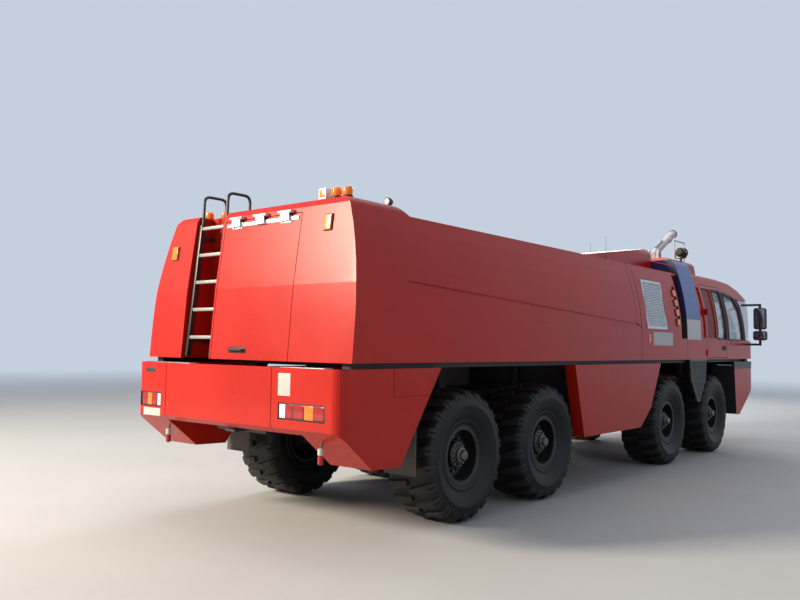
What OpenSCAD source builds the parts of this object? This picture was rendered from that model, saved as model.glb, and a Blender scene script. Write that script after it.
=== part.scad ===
// Airport fire truck, eight wheels on four axles, the front two axles steered.
// +X is forward, +Y is left, +Z is up. Sizes are in millimetres.
// Stations are measured forward from the rear face, and placed() centres them on the origin.

/* [Vehicle] */
// Length from the rear face to the nose
length = 12100; // [11600:50:12600]
// Width of the body over its flanks
body_w = 3000; // [2900:20:3100]
// Height of the upper body's lower edge
body_z = 1640; // [1600:10:1700]
// Height of the tank body's roof
roof_z = 3050; // [2950:10:3150]
// How far each flank leans in at the roof
flank_lean = 230; // [120:10:300]
// Thickness of doors, panels and cab walls
wall = 50; // [40:5:70]

/* [Axles and wheels] */
// Nose to the first steered axle
front_overhang = 2380; // [2340:10:2450]
// Spacing of the two steered axles
front_spacing = 2120; // [2060:10:2160]
// Spacing of the two rear axles
rear_spacing = 1690; // [1640:10:1740]
// Rear face to the last axle
rear_overhang = 1990; // [1950:10:2040]
// Outer radius of the tyre over its lugs
tyre_r = 680; // [660:5:690]
// Width of the tyre
tyre_w = 600; // [560:10:610]
// Radius of the rim at the tyre's bead
rim_r = 290; // [270:5:310]
// Distance from the centre line to the middle of a wheel
wheel_y = 1140; // [1120:5:1150]
// Distance from the centre line to a steering pivot
pivot_y = 930; // [910:5:940]
// Radius of the spindle in the hub
spindle_r = 60; // [50:5:70]

/* [Frame] */
// Distance from the centre line to the outer face of a frame rail
rail_y = 450; // [420:10:470]
// Height of the frame rail's lower edge
rail_z = 960; // [940:10:980]
// Depth of a frame rail
rail_h = 290; // [250:10:310]

/* [Lower body] */
// Height of the lower panels' upper edge
skirt_z = 1590; // [1560:10:1595]
// Thickness of the lower panels
panel_t = 40; // [30:5:45]
// Height of the lower panels' lowest edge
skirt_low_z = 700; // [660:10:740]

/* [Rear] */
// Station of the upper body's rear face at its lower edge
rear_x = 140; // [120:10:180]
// How far the rear face leans forward at the roof
rear_lean = 160; // [100:10:200]
// Right edge of the rear hatch, from the centre line
hatch_right = 690; // [640:10:740]
// Left edge of the rear hatch, from the centre line
hatch_left = 430; // [400:10:460]
// Width of the ladder recess
ladder_w = 470; // [440:10:500]
// Number of ladder rungs
rungs = 5; // [4:1:6]

/* [Cab] */
// Length of the cab from its rear wall to the nose
cab_l = 3300; // [3260:10:3320]
// Height of the window line
belt_z = 1970; // [1940:10:2000]
// Cab's rear wall to the door's rear edge
door_gap = 300; // [280:10:340]
// Length of the cab door
door_l = 1100; // [1060:10:1110]
// Thickness of the window glass
glass_t = 10; // [8:1:14]

/* [Roof] */
// Height of the blue band's arch
arch_z = 3280; // [3220:10:3340]
// Cab's rear wall to the monitor's turning axis
monitor_gap = 900; // [850:10:950]
// Distance of the monitor to the right of the centre line
monitor_y = 330; // [250:10:400]
// Length of the monitor's barrel
barrel_l = 1150; // [1000:10:1250]
// Radius of the monitor's barrel
barrel_r = 62; // [50:2:75]

/* [Hidden] */

half_w = body_w / 2;
seat_gap = 0.3;
seam = 8;
running = 0.3;
axle_x = [length - front_overhang, length - front_overhang - front_spacing,
    rear_overhang + rear_spacing, rear_overhang];
cab_x = length - cab_l;
door_x = cab_x + door_gap;
monitor_x = cab_x + monitor_gap;
rail_top = rail_z + rail_h;
paint = "firebrick";

// Moves a piece from stations to the centred frame
module placed() {
    translate([-length / 2, 0, 0]) children();
}

// Extrudes an outline drawn in X and Z across the vehicle, from y0 to y1
module across(y0, y1) {
    translate([0, y1, 0]) rotate([90, 0, 0]) linear_extrude(height = y1 - y0) children();
}

// Extrudes an outline drawn in Y and Z along the vehicle, from x0 to x1
module along(x0, x1) {
    translate([x0, 0, 0]) rotate([90, 0, 90]) linear_extrude(height = x1 - x0) children();
}

// Box from its low corner to its high corner
module block(low, high) {
    translate(low) cube(high - low);
}

// Box on each side of the centre line, from y0 to y1 outwards
module pair(low, high) {
    block(low, high);
    mirror([0, 1, 0]) block(low, high);
}

function arc(c, r, a0, a1, n) = [for (i = [0:n]) let (a = a0 + (a1 - a0) * i / n)
    [c[0] + r * cos(a), c[1] + r * sin(a)]];
function mirrored(p) = [for (i = [len(p) - 1:-1:0]) [-p[i][0], p[i][1]]];

// Half width of the body at height z, straight up to the window line and then curving in
flank_z = 2000;
function lean_share(z, top) = max(0, (z - flank_z) / (top - flank_z));
function flank(z, top, inset) = half_w - inset - flank_lean * pow(lean_share(z, top), 2);

// Cross section of the upper body: flanks, round shoulders and a crowned roof
shoulder_r = 130;
function section(low, top, inset) =
    let (high = top - shoulder_r * 0.6,
        slope = atan(2 * flank_lean * lean_share(high, top) / (top - flank_z)),
        edge = flank(high, top, inset),
        c = [edge - shoulder_r * cos(slope), high - inset - shoulder_r * sin(slope)],
        side = concat([[half_w - inset, low]],
            [for (i = [0:5]) let (z = flank_z + (high - inset - flank_z) * i / 6) [flank(z, top, inset), z]],
            arc(c, shoulder_r, slope, 88, 5)))
    concat(side, mirrored(side));

// Side outline of the tank body, whose rear face leans forward below a raised roof edge
raise_h = 90;
raise_l = 690;
tank_end = cab_x - 2510;
step_l = 170;
step_z = 2110;
function tank_side() = [[rear_x, body_z], [tank_end, body_z], [tank_end, step_z], [tank_end - step_l,
    step_z + 60],
    [tank_end - step_l, roof_z],
    [rear_x + rear_lean + raise_l + 150, roof_z], [rear_x + rear_lean + raise_l, roof_z + raise_h],
    [rear_x + rear_lean + 40, roof_z + raise_h], [rear_x + rear_lean, roof_z + raise_h - 60],
    [rear_x + rear_lean * 0.35, (body_z + roof_z) / 2]];
bay_l = 1250;
bay_wall = 60;
hatch_top = roof_z - 20;
recess_d = 360;

module tank_form(inset) {
    intersection() {
        across(-half_w, half_w) polygon(tank_side());
        along(0, tank_end) polygon(section(body_z, roof_z + raise_h, inset));
    }
}

// Pressed crease along each flank, falling towards the front
crease_start = [880, 2380];
crease_d = 14;
crease_h = 26;
module flank_crease() {
    intersection() {
        difference() {
            across(-half_w - 10, half_w + 10) polygon([crease_start, [tank_end + 10, 2130],
                [tank_end + 10, 2130 + crease_h], [crease_start[0] + 60, crease_start[1] + crease_h]]);
            along(0, tank_end + 20) polygon(section(body_z - 10, roof_z + raise_h, crease_d));
        }
        block([0, -half_w - 10, 0], [tank_end + 20, half_w + 10, roof_z]);
    }
}

module hatch_cut(grow, depth) {
    block([0, -hatch_right - grow, body_z - 1], [rear_x + depth, hatch_left + grow, hatch_top + grow]);
}

// Hinge of the hatch: a pin between ears on the body, inside a barrel on the hatch
hinge_x = rear_x + rear_lean - 42;
hinge_z = hatch_top + 24;
hinge_r = 15;
hinge_pin_r = 7;
ear_l = 30;
function hinge_places() = [-hatch_right + 200, (hatch_left - hatch_right) / 2, hatch_left - 200];
module hinge_barrel(y, l, r) translate([hinge_x, y - l / 2, hinge_z]) rotate([-90, 0, 0]) cylinder(r = r,
    h = l, $fn = 32);
barrel_w = 120;
module tank_body() color(paint) placed() {
    difference() {
        tank_form(0);
        // Engine bay behind the hatch
        hatch_cut(seam, rear_lean + wall + 20);
        block([0, -hatch_right + bay_wall, body_z - 1],
            [rear_x + bay_l, hatch_left - bay_wall, hatch_top - bay_wall]);
        // Ladder recess beside the hatch
        block([0, hatch_left + 30, body_z - 1], [rear_x + recess_d, hatch_left + 30 + ladder_w,
            roof_z + raise_h + 10]);
        flank_crease();
        for (y = hinge_places()) hinge_barrel(y, barrel_w + 2, hinge_r + 4);
    }
    for (y = hinge_places()) {
        for (s = [-1, 1]) {
            hinge_barrel(y + s * (barrel_w / 2 + 1 + ear_l / 2), ear_l, hinge_r);
            block([hinge_x, y + s * (barrel_w / 2 + 1 + ear_l / 2) - ear_l / 2, hinge_z - hinge_r],
                [hinge_x + 90, y + s * (barrel_w / 2 + 1 + ear_l / 2) + ear_l / 2, hinge_z + hinge_r]);
        }
        hinge_barrel(y, barrel_w + 2 + ear_l, hinge_pin_r);
    }
}

// Rear hatch, hinged along its upper edge, with a grip and the hinge strip's moving leaf
grip_y = [-100, 160];
grip_z = [1705, 1765];
module rear_hatch() color(paint) placed() {
    difference() {
        intersection() {
            tank_form(0);
            hatch_cut(0, rear_lean + wall);
        }
        translate([wall, 0, 0]) intersection() {
            tank_form(0);
            hatch_cut(20, rear_lean + wall + 60);
        }
        block([0, grip_y[0], grip_z[0]], [rear_x + 30, grip_y[1], grip_z[1]]);
    }
    for (y = hinge_places()) difference() {
        union() {
            hinge_barrel(y, barrel_w, hinge_r);
            block([hinge_x - 8, y - barrel_w / 2, hatch_top - 60], [hinge_x + 8, y + barrel_w / 2,
                hinge_z - 2]);
            block([hinge_x - 8, y - barrel_w / 2, hatch_top - 60], [hinge_x + 60, y + barrel_w / 2,
                hatch_top - 30]);
        }
        hinge_barrel(y, barrel_w + 2, hinge_pin_r + running);
    }
}

// Housing of the pump behind the cab, with the lamp recess at its front edge
pump_x = tank_end + seam;
pump_end = cab_x - 650;
slot_x = pump_end - 250;
slot_d = 220;
module pump_form(inset) intersection() {
    across(-half_w, half_w) polygon([[pump_x, body_z], [pump_end, body_z], [pump_end, roof_z],
        [pump_x - step_l, roof_z], [pump_x - step_l, step_z + 60 + seam], [pump_x, step_z + seam]]);
    along(pump_x - step_l, pump_end) polygon(section(body_z, roof_z + raise_h, inset));
}
module pump_housing() color(paint) placed() difference() {
    pump_form(0);
    // Dark slot in front of the housing, behind the arch
    difference() {
        block([slot_x, -half_w - 1, belt_z + 10], [pump_end + 1, half_w + 1, roof_z - 40]);
        block([slot_x - 1, -half_w + slot_d, belt_z], [pump_end + 2, half_w - slot_d, roof_z]);
    }
    for (s = [-1, 1]) {
        grille_cut(s);
        for (i = [0:lamp_n - 1]) lamp_pocket(s, i, 0);
    }
}

// Wedge cover on the roof between the tank and the arch
hood_x = cab_x - 3150;
hood_w = 900;
hood_end = cab_x - 670;
hood_h = 440;
hood_lip = 130;
module roof_hood() color(paint) placed() intersection() {
    across(-hood_w, hood_w) polygon([[hood_x, roof_z + seat_gap], [hood_end, roof_z + seat_gap],
        [hood_end, roof_z + hood_h - 30], [hood_end - 40, roof_z + hood_h], [hood_x + 170,
            roof_z + hood_lip]]);
    along(hood_x, hood_end) polygon(shouldered(hood_w, roof_z, roof_z + hood_h, 160));
}

// Box section whose upper edges are eased over a width c
function shouldered(w, low, high, c) = [[-w, low], [-w, high - c * 0.75], [-w + c * 0.12, high - c * 0.45],
    [-w + c * 0.45, high - c * 0.12], [-w + c, high], [w - c, high], [w - c * 0.45, high - c * 0.12],
    [w - c * 0.12, high - c * 0.45], [w, high - c * 0.75], [w, low]];

// Perforated grilles let into the pump housing's flanks
grille_x = pump_end - 1650;
grille_l = 750;
grille_z = 2110;
grille_h = 720;
grille_d = 60;
module grille_cut(s) {
    intersection() {
        block([grille_x, s > 0 ? 1000 : -half_w - 1, grille_z],
            [grille_x + grille_l, s > 0 ? half_w + 1 : -1000, grille_z + grille_h]);
        difference() {
            block([grille_x - 1, -half_w - 1, grille_z - 1], [grille_x + grille_l + 1, half_w + 1,
                grille_z + grille_h + 1]);
            along(grille_x - 2, grille_x + grille_l + 2)
                polygon(section(body_z, roof_z + raise_h, grille_d));
        }
    }
}

bar_n = 9;
module side_grilles() for (s = [-1, 1]) intersection() {
    grille_cut(s);
    difference() {
        along(grille_x, grille_x + grille_l) polygon(section(body_z, roof_z + raise_h, 12));
        for (i = [0:bar_n - 1]) block([grille_x + 50, -half_w, grille_z + 45 + i * (grille_h - 70) / bar_n],
            [grille_x + grille_l - 50, half_w, grille_z + 45 + i * (grille_h - 70) / bar_n + 42]);
    }
}

// Triangular perforated panels between the steered wheels
vee_x = (axle_x[0] + axle_x[1]) / 2;
vee_w = 390;
module arch_grilles() for (s = [-1, 1]) scale([1, s, 1]) difference() {
        across(half_w - panel_t, half_w)
            polygon([[vee_x - vee_w, body_z - seat_gap], [vee_x - vee_w + 60, 1310],
            [vee_x - 40, 940], [vee_x + 50, 940], [vee_x + vee_w - 40, 1310], [vee_x + vee_w,
                body_z - seat_gap]]);
        across(half_w - panel_t - 1, half_w - 25)
            polygon([[vee_x - vee_w + 50, body_z], [vee_x - vee_w + 110, 1320],
            [vee_x - 10, 1000], [vee_x + 20, 1000], [vee_x + vee_w - 90, 1320], [vee_x + vee_w - 50,
                body_z]]);
    }

module grilles() color("silver") placed() {
    side_grilles();
    arch_grilles();
}

// Lower rear body: two corner boxes beside a centre panel, all with a rising underside
rear_r = 110;
under_x = 420;
corner_x = 1420;
rear_low_z = 1050;
function rear_side(inset) = [[inset, skirt_z], [inset, rear_low_z + inset * 0.4], [under_x,
    skirt_low_z + 10 + inset],
    [810, skirt_low_z + inset], [corner_x, skirt_z]];
function rear_plan(inset) = concat([[corner_x + 50, -half_w + inset]],
    arc([rear_r, -half_w + rear_r], rear_r - inset, 270, 180, 6),
    arc([rear_r, half_w - rear_r], rear_r - inset, 180, 90, 6), [[corner_x + 50, half_w - inset]]);
module rear_lower_form(inset, grow) intersection() {
    across(-half_w, half_w) polygon(rear_side(inset));
    translate([0, 0, 500]) linear_extrude(height = 1200 + grow) polygon(rear_plan(inset));
}
trough = 1000;
split_left = 970;
split_right = 640;
split_d = 60;
module rear_corners() color(paint) placed() difference() {
    rear_lower_form(0, 0);
    // Space inside each corner box, open upwards under the subframe
    difference() {
        rear_lower_form(panel_t, 10);
        block([0, -trough - panel_t, 0], [corner_x, trough + panel_t, skirt_z + 20]);
    }
    block([split_d, -trough, 0], [corner_x + 10, trough, skirt_z + 10]);
    block([-1, -split_right - seam, 0], [split_d + 1, split_left + seam, skirt_z + 10]);
    // Side locker flap's joint line
    for (s = [-1, 1]) scale([1, s, 1]) difference() {
        block([700, half_w - 8, 1330], [1460, half_w + 1, skirt_z + 1]);
        block([708, half_w - 9, 1338], [1460, half_w + 2, skirt_z + 2]);
    }
    for (span = lamp_span) tail_lamp_cut(span, 0);
}
module rear_centre_panel() color(paint) placed() intersection() {
    rear_lower_form(0, 0);
    block([-1, -split_right, 0], [split_d, split_left, 2000]);
}

// Lamp units let into the rear corners
lamp_span = [[-1330, -740], [1050, 1440]];
lamp_z = 1130;
lamp_h = 150;
lamp_d = 30;
module tail_lamp_cut(span, gap) block([-1, span[0] + gap, lamp_z + gap],
    [lamp_d - gap, span[1] - gap, lamp_z + lamp_h - gap]);
module tail_lamps() color("red") placed() for (span = lamp_span) intersection() {
    tail_lamp_cut(span, seat_gap);
    rear_lower_form(0, 0);
}

// Square lamps in a column on each flank of the pump housing
lamp_n = 4;
flank_lamp_x = slot_x - 160;
flank_lamp_z = 2230;
flank_lamp_a = 120;
flank_lamp_step = 155;
flank_lamp_d = 30;
module lamp_pocket(s, i, gap) intersection() {
    block([flank_lamp_x + gap, s > 0 ? 1000 : -half_w, flank_lamp_z + i * flank_lamp_step + gap],
        [flank_lamp_x + flank_lamp_a - gap, s > 0 ? half_w : -1000,
        flank_lamp_z + i * flank_lamp_step + flank_lamp_a - gap]);
    difference() {
        along(flank_lamp_x, flank_lamp_x + flank_lamp_a)
            polygon(section(body_z, roof_z + raise_h, gap > 0 ? 4 : -4));
        along(flank_lamp_x - 1, flank_lamp_x + flank_lamp_a + 1)
            polygon(section(body_z - 9, roof_z + raise_h, flank_lamp_d - gap));
    }
}
module flank_lamps() color("orange") placed() for (s = [-1, 1]) for (i = [0:lamp_n - 1]) lamp_pocket(s,
    i, seat_gap);

// Lower side panels between the second and third axles
mid_x = axle_x[2] + 540;
mid_l = axle_x[1] - axle_x[2] - 1130;
skirt_d = 150;
module middle_skirts() color(paint) placed() for (s = [-1, 1]) scale([1, s, 1]) difference() {
    across(half_w - skirt_d, half_w) polygon([[mid_x, skirt_z], [mid_x + 250, skirt_low_z - 20],
        [mid_x + mid_l - 770, skirt_low_z - 20], [mid_x + mid_l - 390, 940], [mid_x + mid_l, skirt_z]]);
    across(half_w - skirt_d - 1, half_w - panel_t)
        polygon([[mid_x + 50, skirt_z - panel_t], [mid_x + 290, skirt_low_z + 20],
        [mid_x + mid_l - 800, skirt_low_z + 20], [mid_x + mid_l - 450, 950],
        [mid_x + mid_l - 60, skirt_z - panel_t]]);
}

// Lower front body with its corners, plan rounded as the cab's nose
nose_r = 520;
front_x = length - 1520;
function nose_plan(inset, back) = concat([[cab_x - 10, -half_w + inset]],
    arc([length - back - nose_r, -half_w + nose_r], nose_r - inset, 270, 360, 7),
    arc([length - back - nose_r, half_w - nose_r], nose_r - inset, 0, 90, 7),
        [[cab_x - 10, half_w - inset]]);
function front_side(inset) = [[front_x, skirt_z], [front_x + 120, 620 + inset], [front_x + 300, 600 + inset],
    [length - 60 - inset, 1250 + inset], [length - inset, skirt_z]];
module front_lower_form(inset) intersection() {
    across(-half_w, half_w) polygon(front_side(inset));
    linear_extrude(height = 2000) polygon(nose_plan(inset, 0));
}
module front_bumper() color(paint) placed() difference() {
    front_lower_form(0);
    translate([-0.5, 0, 1]) front_lower_form(panel_t);
    block([front_x - 10, -front_gap, 0], [front_x + 600, front_gap, 2000]);
    for (s = [-1, 1]) headlamp_cut(s);
}
// Half width of the opening behind the front axle, between the corners' returns
front_gap = half_w - 420;
module headlamp_cut(s) translate([length - 60, s * 900 - 190, 1310]) cube([100, 380, 190]);
module headlamps() color("white") placed() for (s = [-1, 1])
    translate([length - 59, s * 900 - 190, 1310]) cube([49, 380, 190]);

// Cab: side outline, cross section and rounded nose plan, each with its own inset
cab_roof_z = 3110;
screen_back = 90;
function cab_side(inset) = [[cab_x + inset, body_z + inset], [length - 40 - inset, body_z + inset],
    [length - inset, body_z + 60], [length - inset, belt_z], [length - screen_back - inset, belt_z],
    [length - 200 - inset, 2640], [length - 400 - inset, 2810 - inset * 0.4], [length - 760,
        2970 - inset], [length - 1240, 3070 - inset],
    [length - 1900, cab_roof_z - inset], [cab_x + inset, cab_roof_z - inset]];
module cab_form(inset) intersection() {
    across(-half_w, half_w) polygon(cab_side(inset));
    along(cab_x - 1, length + 1) polygon(section(body_z - 1, cab_roof_z + 20, inset));
    union() {
        linear_extrude(height = belt_z - inset) polygon(nose_plan(inset, 0));
        linear_extrude(height = 4000) polygon(nose_plan(inset, screen_back));
    }
}
// Opening of the windscreen, of the side windows and of a door
pillar_x = length - 930;
sight_z = belt_z + 25;
module screen_region() across(-half_w - 10, half_w + 10)
    polygon([[pillar_x + 90, sight_z], [length + 100, sight_z],
    [length + 100, 2780], [pillar_x - 130, 2780], [pillar_x + 10, 2640]]);
module window_region() across(-half_w - 10, half_w + 10) polygon([[door_x + door_l + 90, sight_z],
    [pillar_x - 20, sight_z], [pillar_x - 110, 2560], [pillar_x - 300, 2780], [door_x + door_l + 90, 2840]]);
// A door's outline: its free edge is an arc about the hinge, so that the leaning flank swings clear
door_low = body_z + 30;
door_high = 2940;
module door_region(s, grow) intersection() {
    block([door_x - grow, s > 0 ? 1000 : -half_w - 10, door_low - grow],
        [door_x + door_l + grow, s > 0 ? half_w + 10 : -1000, door_high + grow]);
    translate([door_x - seam / 2, s * hinge_y(), 0]) cylinder(r = door_l + grow, h = 2 * roof_z, $fn = 180);
}
module door_window_region() across(-half_w - 10, half_w + 10) polygon([[door_x + 580, belt_z + 30],
    [door_x + door_l - 70, belt_z + 30], [door_x + door_l - 70, 2860], [door_x + 580, 2860]]);
// Flutes pressed into the cab's flank behind the door, and into the door behind its window
flute_d = 20;
flute_low = belt_z + 40;
flute_high = 2880;
flute_x = [cab_x + 55, cab_x + 250, door_x + 60, door_x + 500];
module flutes() for (i = [0, 2]) for (s = [-1, 1]) difference() {
    block([flute_x[i], s > 0 ? 1000 : -half_w - 10, flute_low], [flute_x[i + 1],
        s > 0 ? half_w + 10 : -1000, flute_high]);
    along(cab_x - 1, length + 1) polygon(section(body_z - 1, cab_roof_z + 20, flute_d));
}
module cab_skin() difference() {
    cab_form(0);
    cab_form(wall);
    flutes();
}
module cab_shell() color(paint) placed() {
    difference() {
        union() {
            cab_skin();
            sill();
        }
        screen_region();
        window_region();
        for (s = [-1, 1]) {
            door_region(s, seam);
            hinge_pockets(s);
        }
    }
    for (s = [-1, 1]) door_hinges(s, false);
}
module pane() difference() {
    cab_form(wall * 0.3);
    cab_form(wall * 0.3 + glass_t);
}
module cab_glass() color("lightblue") placed() intersection() {
    pane();
    union() {
        screen_region();
        window_region();
    }
}
// Door hinges: a pin between two ears on the shell, inside a barrel on the door
door_hinge_z = [1700, 2400];
door_pin_r = 6;
door_barrel_r = 13;
door_ear = 24;
door_barrel = 60;
hinge_out = 6;
function hinge_y() = half_w + hinge_out;
module hinge_pockets(s) for (z = door_hinge_z) translate([door_x - seam / 2, s * hinge_y(), z - 3])
    cylinder(r = door_barrel_r + 5, h = door_barrel + 2 * door_ear + 8, $fn = 32);
module door_hinges(s, moving) for (z = door_hinge_z) translate([door_x - seam / 2, s * hinge_y(), z])
    scale([1, s, 1]) {
    if (moving) difference() {
        union() {
            translate([0, 0, door_ear + 1]) cylinder(r = door_barrel_r, h = door_barrel, $fn = 32);
            translate([0, -hinge_out - 60, door_ear + 1]) cube([40, 60 + hinge_out, door_barrel]);
        }
        cylinder(r = door_pin_r + running, h = door_barrel + 2 * door_ear + 2, $fn = 32);
        translate([-20, -200, 0]) cube([20, 200 - door_barrel_r, 200]);
    }
    else {
        for (m = [0, door_ear + door_barrel + 2]) {
            translate([0, 0, m]) cylinder(r = door_barrel_r, h = door_ear, $fn = 32);
            translate([-40, -hinge_out - 60, m]) cube([36, 60 + hinge_out, door_ear]);
            translate([-40, -door_barrel_r + 1, m]) cube([40, door_barrel_r - 1, door_ear]);
        }
        cylinder(r = door_pin_r, h = door_barrel + 2 * door_ear + 2, $fn = 32);
    }
}
module door(s) color(paint) placed() {
    difference() {
        intersection() {
            cab_skin();
            door_region(s, 0);
        }
        door_window_region();
        hinge_pockets(s);
    }
    door_hinges(s, true);
}
module door_glass(s) color("lightblue") placed() intersection() {
    pane();
    door_window_region();
    door_region(s, 0);
}

// Seats, dashboard and steering wheel seen through the glass
seat_z = body_z + wall;
seat_back_x = length - 1770;
seat_back_t = 119;
seat_l = 500;
seat_w = 520;
seat_h = 420;
seat_back_h = 1050;
module seats() color("dimgray") placed() translate([0, 0, seat_gap]) for (y = [-750, 0, 750]) {
    block([seat_back_x + seat_back_t + 1, y - seat_w / 2, seat_z],
        [seat_back_x + seat_back_t + seat_l, y + seat_w / 2, seat_z + seat_h]);
    block([seat_back_x, y - seat_w / 2, seat_z], [seat_back_x + seat_back_t, y + seat_w / 2,
        seat_z + seat_back_h]);
}
dash_x = length - 850;
dash_l = 310;
dash_w = 2400;
module dashboard() color("black") placed() translate([0, 0, seat_gap]) {
    across(-dash_w / 2, dash_w / 2)
        polygon([[dash_x, seat_z], [dash_x + dash_l, seat_z], [dash_x + dash_l, seat_z + 280],
        [dash_x, seat_z + 240]]);
}

// Blue arch round the body between the pump housing and the cab, with pale feet over a painted sill
arch_x = pump_end + seam;
arch_foot_z = 2300;
module sill() along(arch_x, cab_x + 1)
    polygon([[-half_w, body_z], [half_w, body_z], [half_w, belt_z], [-half_w, belt_z]]);
module arch_band() color("royalblue") placed() intersection() {
    along(arch_x, cab_x - seat_gap) polygon(section(body_z, arch_z, 0));
    block([0, -half_w, arch_foot_z], [length, half_w, arch_z + 10]);
}
module arch_feet() color("silver") placed() intersection() {
    along(arch_x, cab_x - seat_gap) polygon(section(body_z, arch_z, 0));
    block([0, -half_w, belt_z + seat_gap], [length, half_w, arch_foot_z - seat_gap]);
}

// Raised platform on the cab roof that carries the monitor
fairing_w = 950;
fairing_z = 3410;
fairing_end = cab_x + 1380;
module roof_fairing() color(paint) placed() intersection() {
    across(-fairing_w, fairing_w) polygon([[cab_x, cab_roof_z + seat_gap], [fairing_end,
        cab_roof_z + seat_gap],
        [fairing_end - 150, fairing_z - 20], [fairing_end - 200, fairing_z], [cab_x, fairing_z]]);
    along(cab_x, fairing_end) polygon(shouldered(fairing_w, cab_roof_z, fairing_z, 90));
}

// Roof monitor: turning head on the platform, and a raised barrel between the head's cheeks
pivot_z = fairing_z + 180;
raised = 27;
trunnion_r = 30;
cheek_t = 35;
yoke_w = 220;
yoke_l = 150;
module monitor_turret() color("dimgray") placed() translate([monitor_x, -monitor_y, fairing_z + seat_gap]) {
    rotate_extrude($fn = 48) polygon([[0, 0], [160, 0], [160, 14], [130, 20], [130, 48], [112, 60], [0,
        60]]);
    for (s = [-1, 1]) difference() {
        union() {
            translate([-yoke_l / 2, s > 0 ? yoke_w / 2 - cheek_t : -yoke_w / 2, 50])
                cube([yoke_l, cheek_t, pivot_z - fairing_z - 50]);
            translate([0, s * (yoke_w / 2 - cheek_t / 2), pivot_z - fairing_z - seat_gap]) rotate([90, 0, 0])
                cylinder(r = yoke_l / 2, h = cheek_t, center = true, $fn = 40);
        }
        translate([0, s * yoke_w / 2, pivot_z - fairing_z - seat_gap]) rotate([90, 0, 0])
            cylinder(r = trunnion_r + running, h = 3 * cheek_t, center = true, $fn = 32);
    }
}
// Stations along the barrel and its radius there, from the breech to the nozzle's mouth
function barrel_stations() = [[-75, 0], [-75, 52], [-55, 62], [60, 62], [75, barrel_r], [barrel_l - 400,
    barrel_r],
    [barrel_l - 390, barrel_r + 16], [barrel_l - 350, barrel_r + 16], [barrel_l - 340, barrel_r + 3],
    [barrel_l - 75, barrel_r + 12], [barrel_l - 75, mouth_r], [barrel_l - 60, mouth_r], [barrel_l - 60,
        barrel_r],
    [barrel_l - 110, barrel_r - 12], [barrel_l - 110, 0]];
mouth_r = barrel_r + 22;
module monitor_barrel() color("whitesmoke") placed() translate([monitor_x, -monitor_y, pivot_z]) {
    rotate([90, 0, 0]) cylinder(r = trunnion_r, h = yoke_w - 10, center = true, $fn = 32);
    rotate([0, 90 - raised, 0]) rotate_extrude($fn = 48)
        polygon([for (p = barrel_stations()) [p[1], p[0]]]);
}

// Black searchlight on a post, inside a tube guard on the platform
search_x = monitor_x + 100;
search_y = 800;
guard_r = 14;
guard_x = [monitor_x - 230, monitor_x + 260];
guard_z = 380;
module guard_post(x, h) translate([x, 0, 0]) {
    cylinder(r = guard_r + 12, h = 8, $fn = 32);
    cylinder(r = guard_r, h = h, $fn = 32);
    translate([0, 0, h]) sphere(r = guard_r + 3, $fn = 32);
}
module searchlight() color("black") placed() translate([0, -search_y, fairing_z + seat_gap]) {
    translate([search_x, 0, 0]) {
        cylinder(r = 60, h = 14, $fn = 32);
        cylinder(r = 22, h = 110, $fn = 32);
        translate([0, 0, 190]) rotate([0, 90, 0]) rotate_extrude($fn = 40)
            polygon([[0, -110], [52, -104], [78, -70], [86, 60], [95, 66], [95, 100], [0, 106]]);
    }
    for (x = guard_x) guard_post(x, guard_z);
    translate([guard_x[0], 0, guard_z]) rotate([0, 90, 0])
        cylinder(r = guard_r - 1, h = guard_x[1] - guard_x[0], $fn = 32);
}

// Rear ladder in its recess, with black stiles and aluminium rungs
stile_x = rear_x + 30;
stile_lean = rear_lean - 10;
stile = 34;
stile_d = 60;
ladder_y = hatch_left + 30;
rung_z = 1855;
rung_step = 288;
function stile_at(z) = stile_x + stile_lean * (z - body_z) / (roof_z - body_z);
module ladder() color("silver") placed() {
    for (y = [ladder_y + 20, ladder_y + ladder_w - 20 - stile]) {
        across(y, y + stile) polygon([[stile_at(body_z + 20), body_z + 20],
            [stile_at(body_z + 20) + stile_d, body_z + 20],
            [stile_at(roof_z) + stile_d, roof_z], [stile_at(roof_z), roof_z]]);
        for (z = [body_z + 160, roof_z - 160]) block([stile_at(z) + stile_d - 10, y + 4, z],
            [rear_x + recess_d - seat_gap, y + stile - 4, z + 40]);
    }
    for (i = [0:rungs - 1]) let (z = rung_z + i * rung_step)
        block([stile_at(z) + 8, ladder_y + 20 + stile - 1, z - 16],
        [stile_at(z) + stile_d - 8, ladder_y + ladder_w - 20 - stile + 1, z + 16]);
}
hoop_z = 3360;
hoop_x = stile_at(roof_z) + stile_d / 2;
hoop_l = 300;
hoop_r = 16;
module grab_rails() color("black") placed() for (y = [ladder_y + 37, ladder_y + ladder_w - 37]) {
    translate([hoop_x, y, roof_z + seat_gap]) cylinder(r = hoop_r, h = hoop_z - roof_z, $fn = 24);
    for (x = [hoop_x, hoop_x + hoop_l]) translate([x, y, hoop_z]) sphere(r = hoop_r + 4, $fn = 24);
    translate([hoop_x, y, hoop_z]) rotate([0, 90, 0]) cylinder(r = hoop_r - 1, h = hoop_l, $fn = 24);
    translate([hoop_x + hoop_l, y, roof_z + raise_h + seat_gap])
        cylinder(r = hoop_r, h = hoop_z - roof_z - raise_h, $fn = 24);
}

// Mirrors on arms outside the windscreen pillars
mirror_x = length - 800;
mirror_y = half_w + 260;
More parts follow.
